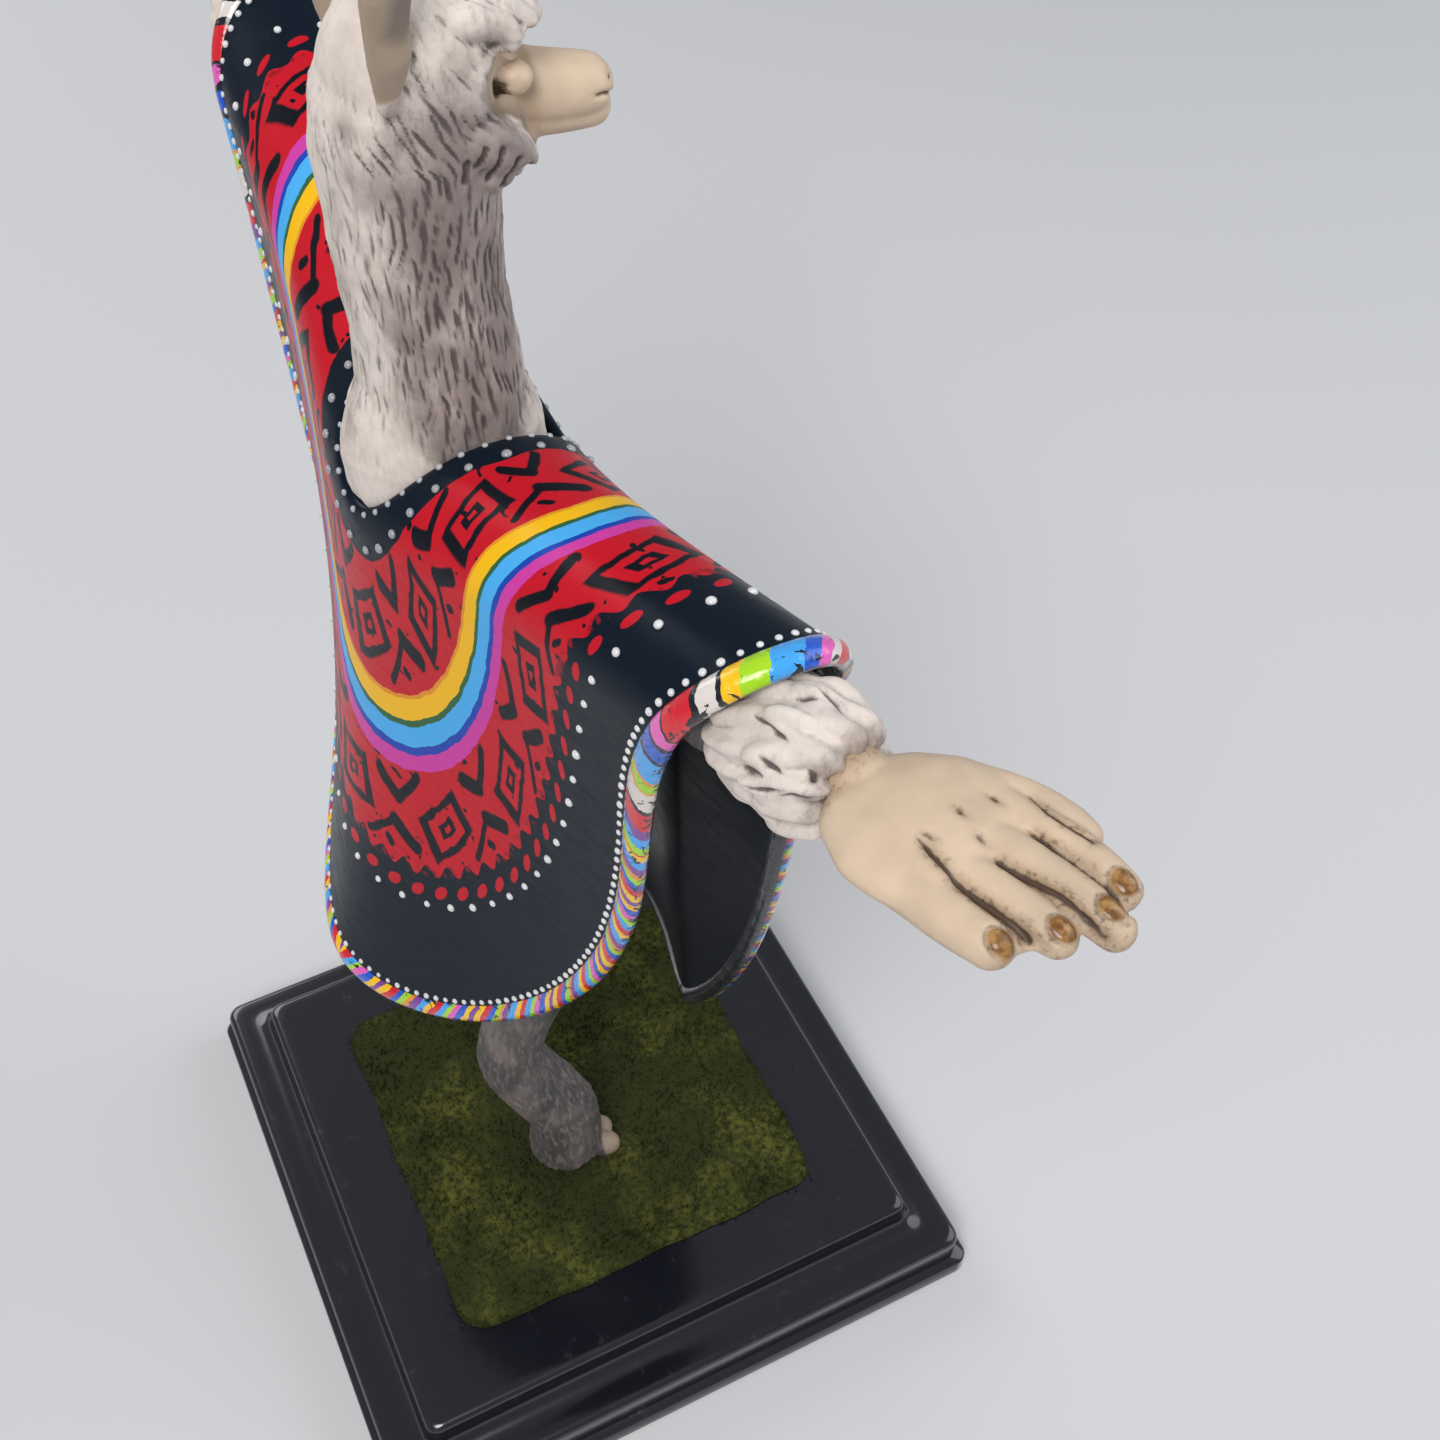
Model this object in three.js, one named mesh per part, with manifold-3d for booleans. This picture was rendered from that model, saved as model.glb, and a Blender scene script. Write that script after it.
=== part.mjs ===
// A painted statuette: a llama in a short poncho balances on one leg on a square moulded plinth.
// Millimetres, +Z up, origin at the middle of the plinth's underside. The llama faces -Y, its
// right hand reaches towards -X and its left hand towards +X.

import * as THREE from 'three';
import { mergeVertices } from 'three/addons/utils/BufferGeometryUtils.js';
import Module from 'manifold-3d';

const wasm = await Module();
wasm.setup();

// Driving dimensions

// Plinth: a square block with a moulded edge
const plinthSide = 100;
const plinthHeight = 15.5;
const plinthTopSide = 81;
const plinthCornerRadius = 2.5;
const coveRadius = 3.2;
const beadRadius = 1.3;
const footStep = 3.5;

// Grass: a flocked square laid on the plinth
const grassSide = 61.5;
const grassCornerRadius = 5;
const grassThickness = 1.2;
const tuftHeight = 0.5;

// Gap kept between pieces that touch
const fitGap = 0.3;

// Llama: its pose and its carving are shares of the height from the grass to the crown
const figureHeight = 200;

// Poncho: a thin sheet laid over both arms
const ponchoThickness = 1.6;
const rightSleeveReach = 55;
const leftSleeveReach = 60;
const panelHalfWidth = 47;
const ponchoBackLength = 90;
const ponchoFrontLength = 101;
const collarRadius = 8.2;
const collarLength = 15;
const trimWidth = 3.6;
const trimThickness = 2.6;

// What the driving dimensions give

const unit = figureHeight / 200;
const groundHeight = plinthHeight + grassThickness + fitGap;
const AXIS_X = new THREE.Vector3(1, 0, 0);
const AXIS_Z = new THREE.Vector3(0, 0, 1);

// A point of the figure, given for a figure 200 high that stands at the origin
function at(x, y, z) {
  return new THREE.Vector3(x, y, z).multiplyScalar(unit);
}

// Solids from closed meshes

function signedVolume(geometry) {
  const p = geometry.attributes.position;
  const index = geometry.index;
  const corners = [new THREE.Vector3(), new THREE.Vector3(), new THREE.Vector3()];
  let sum = 0;
  for (let i = 0; i < index.count; i += 3) {
    corners.forEach((corner, k) => corner.fromBufferAttribute(p, index.getX(i + k)));
    sum += corners[0].dot(corners[1].clone().cross(corners[2]));
  }
  return sum / 6;
}

// A geometry with shared corners merged, as a solid whose faces point out
function solid(geometry) {
  const bare = geometry.clone();
  bare.deleteAttribute('normal');
  bare.deleteAttribute('uv');
  const merged = mergeVertices(bare, 1e-4);
  const outward = signedVolume(merged) > 0;
  const triangles = [];
  for (let i = 0; i < merged.index.count; i += 3) {
    const [a, b, c] = [0, 1, 2].map((k) => merged.index.getX(i + k));
    if (a === b || b === c || c === a) continue;
    triangles.push(...(outward ? [a, b, c] : [a, c, b]));
  }
  return new wasm.Manifold(new wasm.Mesh({
    numProp: 3,
    vertProperties: new Float32Array(merged.attributes.position.array),
    triVerts: new Uint32Array(triangles),
  }));
}

function join(solids) {
  return solids.reduce((whole, piece) => whole.add(piece));
}

function geometryOf(body) {
  const mesh = body.getMesh();
  const geometry = new THREE.BufferGeometry();
  geometry.setAttribute('position', new THREE.BufferAttribute(mesh.vertProperties, 3));
  geometry.setIndex(new THREE.BufferAttribute(mesh.triVerts, 1));
  geometry.computeVertexNormals();
  return geometry;
}

// A value along a list of evenly spaced ones, from 0 at the first to 1 at the last
function along(values, t) {
  const place = THREE.MathUtils.clamp(t, 0, 1) * (values.length - 1);
  const i = Math.min(Math.floor(place), values.length - 2);
  return THREE.MathUtils.lerp(values[i], values[i + 1], place - i);
}

// A rounded limb: a sphere drawn out along a smooth path, with a radius at each point of it.
// flat is the thickness across `side` as a share of the width, and shape(t, angle) carves it.
function limb(points, radii, options = {}) {
  const { sides = 10, steps = 8, flat = 1, side = AXIS_X } = options;
  const { shape = () => 1, ends = [1, 1], crowd = 0.8 } = options;
  const path = new THREE.CatmullRomCurve3(points, false, 'centripetal');
  const length = path.getLength();
  const geometry = new THREE.SphereGeometry(1, sides, steps);
  const p = geometry.attributes.position;
  const v = new THREE.Vector3();
  for (let i = 0; i < p.count; i += 1) {
    v.fromBufferAttribute(p, i);
    const polar = Math.acos(THREE.MathUtils.clamp(v.y, -1, 1)) / Math.PI;
    const t = THREE.MathUtils.lerp(polar, 0.5 - v.y / 2, crowd);
    const angle = Math.atan2(v.z, v.x);
    const radius = along(radii, t) * unit;
    const startRound = Math.min(1, (t * length) / (ends[0] * radii[0] * unit + 1e-6));
    const endRound = Math.min(1, ((1 - t) * length) / (ends[1] * radii.at(-1) * unit + 1e-6));
    const round = Math.sqrt(1 - (1 - startRound) ** 2) * Math.sqrt(1 - (1 - endRound) ** 2);
    const tangent = path.getTangentAt(t);
    const across = side.clone().addScaledVector(tangent, -side.dot(tangent)).normalize();
    const over = new THREE.Vector3().crossVectors(tangent, across);
    const reach = radius * round * shape(t, angle);
    v.copy(path.getPointAt(t));
    v.addScaledVector(across, Math.cos(angle) * reach);
    v.addScaledVector(over, Math.sin(angle) * reach * flat);
    p.setXYZ(i, v.x, v.y, v.z);
  }
  return solid(geometry);
}

// An ellipsoid, with bump(direction) carving it
function ball(centre, rx, ry, rz, options = {}) {
  const { sides = 12, steps = 8, bump = () => 1 } = options;
  const geometry = new THREE.SphereGeometry(1, sides, steps);
  geometry.rotateX(Math.PI / 2);
  const p = geometry.attributes.position;
  const v = new THREE.Vector3();
  for (let i = 0; i < p.count; i += 1) {
    v.fromBufferAttribute(p, i);
    const k = bump(v) * unit;
    p.setXYZ(i, centre.x + v.x * rx * k, centre.y + v.y * ry * k, centre.z + v.z * rz * k);
  }
  return solid(geometry);
}

// A pointed lock of fur from its root, through a bulge, to its tip
function lock(root, tip, width, lift = at(0, 0, 0)) {
  const middle = root.clone().lerp(tip, 0.5).add(lift);
  return limb([root, middle, tip], [width, width * 0.95, width * 0.3], { sides: 5, steps: 4, crowd: 0.3 });
}

// Plinth

// A square ring of points with round corners, at one height
function squareRing(half, radius, height, cornerSteps) {
  const ring = [];
  for (let corner = 0; corner < 4; corner += 1) {
    const turn = (corner * Math.PI) / 2;
    for (let i = 0; i <= cornerSteps; i += 1) {
      const a = turn + ((i / cornerSteps) * Math.PI) / 2;
      const cx = Math.SQRT2 * (half - radius) * Math.cos(turn + Math.PI / 4);
      const cy = Math.SQRT2 * (half - radius) * Math.sin(turn + Math.PI / 4);
      ring.push(new THREE.Vector3(cx + radius * Math.cos(a), cy + radius * Math.sin(a), height));
    }
  }
  return ring;
}

// A closed skin over rings of as many points each, with a flat fan over the first and the last
function skin(rings) {
  const count = rings[0].length;
  const corners = rings.flat();
  const centres = [rings[0], rings.at(-1)].map((ring) => ring
    .reduce((sum, point) => sum.add(point), new THREE.Vector3())
    .divideScalar(count));
  const first = corners.length;
  const last = first + 1;
  const top = (rings.length - 1) * count;
  const faces = [];
  for (let i = 0; i < count; i += 1) {
    const next = (i + 1) % count;
    for (let row = 0; row < rings.length - 1; row += 1) {
      const a = row * count + i;
      const b = row * count + next;
      faces.push(a, b, b + count, a, b + count, a + count);
    }
    faces.push(first, next, i);
    faces.push(last, top + i, top + next);
  }
  const geometry = new THREE.BufferGeometry().setFromPoints([...corners, ...centres]);
  geometry.setIndex(faces);
  return geometry;
}

// The moulding's outline from the foot up: how far in from the foot, and how high
function mouldingOutline() {
  const inset = (plinthSide - plinthTopSide) / 2;
  const outline = new THREE.Path();
  const beadTop = plinthHeight - beadRadius;
  const shelf = beadTop - beadRadius - coveRadius;
  outline.moveTo(0, 0);
  outline.lineTo(0, footStep);
  outline.lineTo(beadRadius, footStep + beadRadius * 0.4);
  outline.lineTo(beadRadius, shelf - beadRadius);
  outline.absarc(2 * beadRadius, shelf - beadRadius, beadRadius, Math.PI, Math.PI / 2, true);
  outline.lineTo(inset - beadRadius - coveRadius, shelf);
  outline.absarc(inset - beadRadius - coveRadius, shelf + coveRadius, coveRadius, -Math.PI / 2, 0, false);
  outline.absarc(inset, beadTop, beadRadius, Math.PI, Math.PI / 2, true);
  return outline.getPoints(2);
}

function plinthGeometry() {
  const rings = mouldingOutline().map((point) => {
    const half = plinthSide / 2 - point.x;
    return squareRing(half, Math.max(plinthCornerRadius - point.x * 0.1, 0.6), point.y, 2);
  });
  return skin(rings);
}

// Grass: a low slab whose edge and top are uneven with tufts

function grassGeometry() {
  const edge = squareRing(grassSide / 2, grassCornerRadius, 0, 3);
  const ring = (share, height, rough) => edge.map((point, i) => {
    const uneven = 1 + rough * Math.sin(i * 2.7) * Math.cos(i * 1.3);
    return new THREE.Vector3(point.x * share * uneven, point.y * share * uneven, height);
  });
  const crown = grassThickness - tuftHeight;
  return skin([
    ring(1, 0, 0.012),
    ring(0.995, crown * 0.6, 0.012),
    ring(0.97, crown, 0.01),
    ring(0.6, crown, 0),
    ring(0.3, crown, 0),
  ]);
}

// Arms: both reach out from the shoulders, raised, swept forwards and a little turned

const shoulderHeight = 151.8;
const armRaise = 0.278;
const armTilt = 0.1;
const armSweep = 0.15;
const armTurn = 0.085;
const neckDepth = 3;
const shoulderBlend = 10;
const shoulderDrape = 12;
const sleeveDrape = 8.5;
const drapeFade = 18;

// How far out from the shoulders' middle a place is, eased where the neck stands
function outwards(s) {
  return Math.hypot(s, shoulderBlend) - shoulderBlend;
}

// Top line of the cloth over the arms, and its radius there, for a figure 200 high
function ridge(s) {
  const out = outwards(s);
  return {
    y: neckDepth - armSweep * out + armTurn * s,
    z: shoulderHeight + armRaise * out + armTilt * s,
    radius: sleeveDrape + (shoulderDrape - sleeveDrape) * Math.exp(-((s / drapeFade) ** 2)),
  };
}

// Poncho

// The panels lean out from upright in the middle and hang straight near the arms' ends
const backLean = THREE.MathUtils.degToRad(12.5);
const frontLean = THREE.MathUtils.degToRad(7.5);
const leanReach = 48;

// A point of the sheet: s across from the middle, and how far down from the top line,
// positive down the back and negative down the front
function drape(s, down) {
  const top = ridge(s / unit);
  const radius = top.radius * unit;
  const reach = Math.abs(down);
  const fade = Math.max(0, 1 - Math.abs(s / (leanReach * unit)) ** 1.6);
  const turn = Math.PI / 2 - (down > 0 ? backLean : frontLean) * fade;
  const angle = Math.min(reach / radius, turn);
  const rest = reach - angle * radius;
  const out = radius * Math.sin(angle) + rest * Math.cos(turn);
  const drop = radius * (1 - Math.cos(angle)) + rest * Math.sin(turn);
  return new THREE.Vector3(s, top.y * unit + Math.sign(down) * out, top.z * unit - drop);
}

// A point of an oval in the sheet, whose back and front lengths differ
function oval(angle, halfWidth, back, front, power) {
  const c = Math.cos(angle);
  const s = Math.sin(angle);
  return new THREE.Vector2(
    Math.sign(c) * Math.abs(c) ** (2 / power) * halfWidth,
    Math.sign(s) * Math.abs(s) ** (2 / power) * (s > 0 ? back : front),
  );
}

const ponchoSpokes = 62;
const sleeveCrowding = 1.6;
const hemPower = 2.4;
const sleeveFlareDepth = 16;

function collarOval(angle) {
  return oval(angle, collarRadius, collarLength, collarLength, 2);
}

// The hem runs round both panels and flares out to the ends of the sleeves
function hemOval(angle) {
  const place = oval(angle, panelHalfWidth, ponchoBackLength, ponchoFrontLength, hemPower);
  const flare = (rightSleeveReach - panelHalfWidth) * Math.exp(-((place.y / sleeveFlareDepth) ** 2));
  place.x += Math.sign(Math.cos(angle)) * flare;
  if (place.x > 0) place.x *= leftSleeveReach / rightSleeveReach;
  return place;
}

// Angles that space the hem evenly, and closer where it bends over the arms
function spokeAngles() {
  const fine = 2000;
  const lengths = [0];
  let last = hemOval(0);
  for (let i = 1; i <= fine; i += 1) {
    const next = hemOval((i / fine) * 2 * Math.PI);
    const bend = 1 + sleeveCrowding * Math.exp(-((next.y / (1.5 * sleeveFlareDepth)) ** 2));
    lengths.push(lengths.at(-1) + next.distanceTo(last) * bend);
    last = next;
  }
  const angles = [];
  for (let k = 0, i = 0; k < ponchoSpokes; k += 1) {
    const target = (k / ponchoSpokes) * lengths.at(-1);
    while (lengths[i] < target) i += 1;
    angles.push((i / fine) * 2 * Math.PI);
  }
  return angles;
}

// Places across the sheet, from the collar at 0 to the hem, with half the thickness at each.
// The trim is a round bead along the hem.
function sheetRows(width) {
  const half = ponchoThickness / 2;
  const bead = trimThickness / 2;
  const plain = width - trimWidth;
  return [
    [0, half * 0.55],
    [half * 0.6, half],
    [plain * 0.25, half],
    [plain * 0.5, half],
    [plain * 0.75, half],
    [plain, half],
    [plain + trimWidth * 0.12, bead * 0.86],
    [plain + trimWidth * 0.5, bead],
    [plain + trimWidth * 0.88, bead * 0.8],
    [width, bead * 0.4],
  ];
}

// The sheet as a closed shell; grow thickens it all round, for what it must clear
function ponchoGeometry(grow = 0) {
  const angles = spokeAngles();
  const surfaceAt = (angle, distance) => {
    const from = collarOval(angle);
    const to = hemOval(angle);
    const place = from.clone().addScaledVector(to.clone().sub(from).normalize(), distance);
    return drape(place.x, place.y);
  };
  const normalAt = (angle, distance) => {
    const e = 0.02;
    const outward = surfaceAt(angle, distance + e).sub(surfaceAt(angle, distance - e));
    const round = surfaceAt(angle + e * 0.1, distance).sub(surfaceAt(angle - e * 0.1, distance));
    return round.cross(outward).normalize().negate();
  };
  const spokes = angles.map((angle) => {
    const width = collarOval(angle).distanceTo(hemOval(angle));
    const rows = sheetRows(width).map(([distance, half], i, all) => {
      const end = i === 0 ? -grow : i === all.length - 1 ? grow : 0;
      return [distance + end, half + grow];
    });
    const outer = rows.map(([distance, half]) => surfaceAt(angle, distance)
      .addScaledVector(normalAt(angle, distance), half));
    const inner = rows.map(([distance, half]) => surfaceAt(angle, distance)
      .addScaledVector(normalAt(angle, distance), -half));
    return [...outer, ...inner.reverse()];
  });
  const count = spokes[0].length;
  const faces = [];
  spokes.forEach((_, k) => {
    const next = (k + 1) % spokes.length;
    for (let i = 0; i < count; i += 1) {
      const j = (i + 1) % count;
      faces.push(k * count + i, next * count + j, next * count + i);
      faces.push(k * count + i, k * count + j, next * count + j);
    }
  });
  const geometry = new THREE.BufferGeometry().setFromPoints(spokes.flat());
  geometry.setIndex(faces);
  return geometry;
}

// Llama

// Furrows between locks of wool, drifting sideways and deeper by `more` at the locks' ends
function furrows(count, depth, drift, more = 0) {
  return (t, angle) => {
    const wave = 0.5 + 0.5 * Math.cos(count * angle + drift * Math.sin(7 * t));
    return 1 - (depth + more * t ** 3) * wave;
  };
}

function neckSolid() {
  const path = [at(0, 3.8, 136), at(0, 3.8, 148), at(0, 3.4, 158), at(0, 3.8, 170), at(0, 3, 182), at(0, 1.6, 193)];
  return limb(path, [7, 7.6, 8.2, 7.6, 7.8, 8.6, 8.2], {
    sides: 24, steps: 11, shape: furrows(8, 0.08, 1.5), crowd: 0.2, flat: 1.06, ends: [0.8, 0.8],
  });
}

function headSolid() {
  const skull = ball(at(0, 1.2, 189), 8.4, 9.2, 9.6, { sides: 14, steps: 8 });
  const snout = limb(
    [at(0, -2, 186), at(0, -8, 184.5), at(0, -14, 182.6), at(0, -17.6, 181.8)],
    [4.6, 4, 3.3, 3.2, 2.9],
    { sides: 12, steps: 8, ends: [0.5, 0.9] },
  );
  const mouth = ball(at(0, -17.6, 180.6), 4.4, 2.6, 0.35, { sides: 8, steps: 4 });
  const lids = [-1, 1].map((side) => ball(at(side * 4.3, -6.6, 188.4), 1.9, 2.1, 1.9, { sides: 8, steps: 6 }));
  return join([skull, snout, ...lids]).subtract(mouth);
}

function fringeSolids() {
  const locks = [];
  for (let i = 0; i < 7; i += 1) {
    const spread = (i - 3) / 3;
    const root = at(spread * 5, 0, 196.5 - 2 * spread * spread);
    const tip = at(spread * 7.2, -10.4 + 2.6 * spread * spread, 191.4 - 0.6 * Math.abs(spread));
    locks.push(lock(root, tip, 2.3, at(0, -1, 1.8)));
  }
  return locks;
}

function cheekSolids() {
  const locks = [];
  for (const side of [-1, 1]) {
    for (let i = 0; i < 4; i += 1) {
      const k = i / 3;
      const root = at(side * 6, 0.5 + 3.5 * k, 188 - k);
      const tip = at(side * (5.2 + 1.6 * k), -7.8 + 7 * k, 181 - 1.2 * k);
      locks.push(lock(root, tip, 2.5, at(side * 1.1, -0.8, 0)));
    }
  }
  return locks;
}

function earSolids() {
  return [-1, 1].map((side) => {
    const path = [at(side * 5, 3.6, 190), at(side * 6.8, 4.6, 198), at(side * 7.8, 4.2, 206), at(side * 7.4, 2.8, 213)];
    const spread = new THREE.Vector3(side * 0.45, 0.9, 0);
    const leaf = limb(path, [1.6, 2.9, 3.3, 2.4, 0.7], { sides: 8, steps: 7, flat: 0.5, side: spread });
    const hollow = limb(
      path.map((point) => point.clone().add(at(side * 1.5, -1, 0.4))),
      [0.4, 1.7, 1.9, 1.2, 0.3],
      { sides: 6, steps: 5, flat: 0.55, side: spread },
    );
    return leaf.subtract(hollow);
  });
}

// The upper arms fill the sleeves, a gap clear of the cloth, and the cuffs show beyond them
const cuffBeyondSleeve = 3;

function cuffPlace(side) {
  return (side < 0 ? rightSleeveReach : leftSleeveReach) / unit + cuffBeyondSleeve;
}

function sleeveRadius(s) {
  return ridge(s).radius - (ponchoThickness / 2 + fitGap) / unit;
}

function armsSolid() {
  const points = [];
  const radii = [];
  for (let i = -5; i <= 5; i += 1) {
    const s = (i / 5) * (cuffPlace(i) - 6);
    const top = ridge(s);
    points.push(at(s, top.y, top.z - top.radius));
    radii.push(sleeveRadius(s) * 0.86);
  }
  return limb(points, radii, { sides: 10, steps: 11, side: AXIS_Z, ends: [0.8, 0.8], crowd: 0 });
}

// The forearm's woolly cuff, the bare wrist and the hand, in the arm's own directions
function handSolid(side) {
  const top = ridge(side * cuffPlace(side));
  const wrist = at(side * (cuffPlace(side) + 2.75), top.y - 0.6, top.z - top.radius + 1.4);
  const rise = side < 0 ? 0.1 : 0.24;
  const ahead = new THREE.Vector3(side * 0.93, -0.37, rise).normalize();
  const acrossHand = new THREE.Vector3(-side * 0.37, -0.93, 0).normalize();
  const up = new THREE.Vector3().crossVectors(ahead, acrossHand).multiplyScalar(-side);
  const place = (a, b, c) => wrist.clone()
    .addScaledVector(ahead, a * unit)
    .addScaledVector(acrossHand, b * unit)
    .addScaledVector(up, c * unit);
  const cuff = limb(
    [place(-13, 1, -1.6), place(-7, 0.2, -1.2), place(1, -0.5, -0.6)],
    [5, 6.2, 6.9, 6.8, 6],
    { sides: 20, steps: 7, side: acrossHand, shape: furrows(10, 0.05, 1, 0.2), ends: [0.8, 0.5] },
  );
  const wristSolid = limb(
    [place(-3, 0, 0), place(0, 0, 0), place(5, -0.9, 0)],
    [3, 2.9, 3.3, 4.4],
    { sides: 8, steps: 4, side: acrossHand },
  );
  const palm = limb(
    [place(1.5, -0.8, 0), place(6, -1.7, 0), place(12, -1.9, 0.2), place(18.5, -1.5, 0)],
    [3.2, 5.2, 7.6, 8.3, 7.6, 5.5],
    { sides: 12, steps: 7, flat: 0.36, side: acrossHand, ends: [0.9, 0.6] },
  );
  const fingers = [
    [[10, -7.3, -0.2], [17, -7.7, 0], [24, -7.8, -0.7], 2.1],
    [[13, -3.3, 0.3], [20, -3.7, 0.5], [27, -4.3, -0.5], 2],
    [[14, 0.5, 0.4], [22, 0, 0.6], [29.4, -0.7, -0.5], 2],
    [[14, 4, 0.2], [21, 3.9, 0.4], [28, 3, -0.4], 1.75],
    [[9, 5, -0.4], [16, 6.1, -0.3], [22.6, 5.3, -0.5], 1.75],
  ].map(([root, middle, tip, radius]) => limb(
    [place(...root), place(...middle), place(...tip)],
    [radius, radius, radius, radius * 0.95, radius * 0.8],
    { sides: 6, steps: 6, side: acrossHand, crowd: 0.9 },
  ));
  return join([cuff, wristSolid, palm, ...fingers]);
}

function torsoSolid() {
  const path = [at(0, 2.6, 146), at(0, 3, 130), at(0, 4, 112), at(0, 4, 94)];
  return limb(path, [10, 12.5, 11.5, 12, 9.5], { sides: 14, steps: 8, flat: 0.72, ends: [0.7, 0.9], crowd: 0.4 });
}

// The two toes of a foot, from under the wool at `heel` towards -Y
function toeSolids(heel, fall) {
  return [-1, 1].map((part) => limb(
    [[0, 0, 0], [-0.8, -3, 0.1], [-1.4, -5.2, -fall]].map(([x, y, z]) => heel.clone()
      .add(at(x + part * 1.6, y, z))),
    [2, 2.1, 1.6],
    { sides: 6, steps: 5 },
  ));
}

function standingLeg() {
  const leg = limb(
    [at(-6, 3.5, 102), at(-8, -3, 70), at(-7, 10.5, 38), at(-7.6, 4.6, 14), at(-7.8, 4.6, 0.6)],
    [7.5, 8, 7, 5.6, 5.6, 6, 6.3, 6.8],
    { sides: 18, steps: 13, shape: furrows(9, 0.07, 2, 0.14), ends: [1, 0.3], crowd: 0 },
  );
  const sole = limb([at(-7.8, 5, 6), at(-8.2, 4, -3)], [4.6, 4.8], { sides: 8, steps: 4, ends: [1, 0.1] });
  return join([leg, sole, ...toeSolids(at(-8.6, 1.6, 1.5), 0.3)]);
}

function raisedLeg() {
  const thigh = limb(
    [at(6, 3, 102), at(9, -6, 88), at(10, -12.5, 79)],
    [7.5, 7.5, 6.2, 5],
    { sides: 12, steps: 6, flat: 0.85 },
  );
  const shin = limb(
    [at(10, -11.5, 79), at(10, -2, 70), at(10, 6.5, 62), at(10, 2, 52), at(10, 1, 49)],
    [4.8, 5.2, 5, 4.8, 5.2, 5.4],
    { sides: 14, steps: 8, shape: furrows(7, 0.04, 1, 0.14), ends: [1, 0.4], crowd: 0.8 },
  );
  return join([thigh, shin, ...toeSolids(at(10.6, 0.8, 51.6), 2.4)]);
}

function llamaGeometry() {
  const whole = join([
    torsoSolid(),
    neckSolid(),
    headSolid(),
    ...fringeSolids(),
    ...cheekSolids(),
    ...earSolids(),
    armsSolid(),
    handSolid(-1),
    handSolid(1),
    standingLeg(),
    raisedLeg(),
  ]);
  const below = new THREE.BoxGeometry(4 * figureHeight, 4 * figureHeight, figureHeight);
  below.translate(0, 0, -figureHeight / 2);
  return geometryOf(whole.subtract(solid(below)).subtract(solid(ponchoGeometry(fitGap))));
}

// The statuette

const paint = {
  lacquer: new THREE.MeshStandardMaterial({ color: '#0b0c12', roughness: 0.3, metalness: 0 }),
  grass: new THREE.MeshStandardMaterial({ color: '#39491c', roughness: 0.95, metalness: 0 }),
  wool: new THREE.MeshStandardMaterial({ color: '#d9cdc8', roughness: 0.7, metalness: 0 }),
  poncho: new THREE.MeshStandardMaterial({ color: '#131c2a', roughness: 0.35, metalness: 0 }),
};

function piece(name, geometry, material, height) {
  const mesh = new THREE.Mesh(geometry, material);
  mesh.name = name;
  mesh.position.z = height;
  return mesh;
}

const statuette = new THREE.Group();
statuette.add(piece('plinth', plinthGeometry(), paint.lacquer, 0));
statuette.add(piece('grass_mat', grassGeometry(), paint.grass, plinthHeight + fitGap));
statuette.add(piece('llama', llamaGeometry(), paint.wool, groundHeight));
statuette.add(piece('poncho', ponchoGeometry(), paint.poncho, groundHeight));

export default statuette;
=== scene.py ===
"""Looks for a painted statuette of a llama in a poncho.

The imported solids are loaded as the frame, and each is replaced by a finished piece in the same
place: carved wool and hands, painted cloth with its beaded hem, the lacquered plinth, the grass.
"""

import math

import bpy
import numpy as np
from mathutils import Matrix, Vector, noise


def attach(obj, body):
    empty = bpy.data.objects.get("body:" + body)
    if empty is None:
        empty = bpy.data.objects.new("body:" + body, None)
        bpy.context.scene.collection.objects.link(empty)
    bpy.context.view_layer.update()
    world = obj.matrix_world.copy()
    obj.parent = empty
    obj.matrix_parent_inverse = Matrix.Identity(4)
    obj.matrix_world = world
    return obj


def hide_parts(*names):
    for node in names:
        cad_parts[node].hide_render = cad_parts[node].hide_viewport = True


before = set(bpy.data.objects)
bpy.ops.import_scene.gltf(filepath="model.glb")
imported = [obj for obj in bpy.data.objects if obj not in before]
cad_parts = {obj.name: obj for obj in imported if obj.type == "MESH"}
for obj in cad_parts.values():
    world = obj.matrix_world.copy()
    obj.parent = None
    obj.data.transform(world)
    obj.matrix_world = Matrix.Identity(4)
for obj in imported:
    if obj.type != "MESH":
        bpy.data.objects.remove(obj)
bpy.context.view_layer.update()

bl_info = {
    "name": "Llama statuette",
    "version": (1, 0, 0),
    "blender": (4, 5, 0),
    "location": "3D View > Sidebar > Statuette",
    "description": "Builds the looks of a painted llama statuette around its solids",
    "category": "Object",
}

# Sizes in millimetres. A figure is made over its own feet, and GROUND lifts it onto the plinth.

MM = 0.001
TURN = 2 * math.pi
PLINTH_SIDE = 100.0
PLINTH_HEIGHT = 15.5
PLINTH_TOP_SIDE = 81.0
PLINTH_CORNER = 2.5
COVE_RADIUS = 3.2
BEAD_RADIUS = 1.3
FOOT_STEP = 3.5
GRASS_SIDE = 61.5
FLOCK_SIDE = 63.0
GRASS_THICKNESS = 1.2
GRASS_CORNER = 4.5
FIT_GAP = 0.3
GROUND = PLINTH_HEIGHT + GRASS_THICKNESS + FIT_GAP

CLOTH_THICKNESS = 1.6
RIGHT_REACH = 55.0
LEFT_REACH = 60.0
PANEL_HALF_WIDTH = 47.0
BACK_LENGTH = 94.0
FRONT_LENGTH = 110.0
COLLAR_RADIUS = 8.2
COLLAR_LENGTH = 15.0
TRIM_WIDTH = 3.6
TRIM_THICKNESS = 2.6
HEM_POWER = 2.4
FLARE_DEPTH = 16.0

# The poncho's pattern, in shares of the way from the collar to the hem

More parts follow.
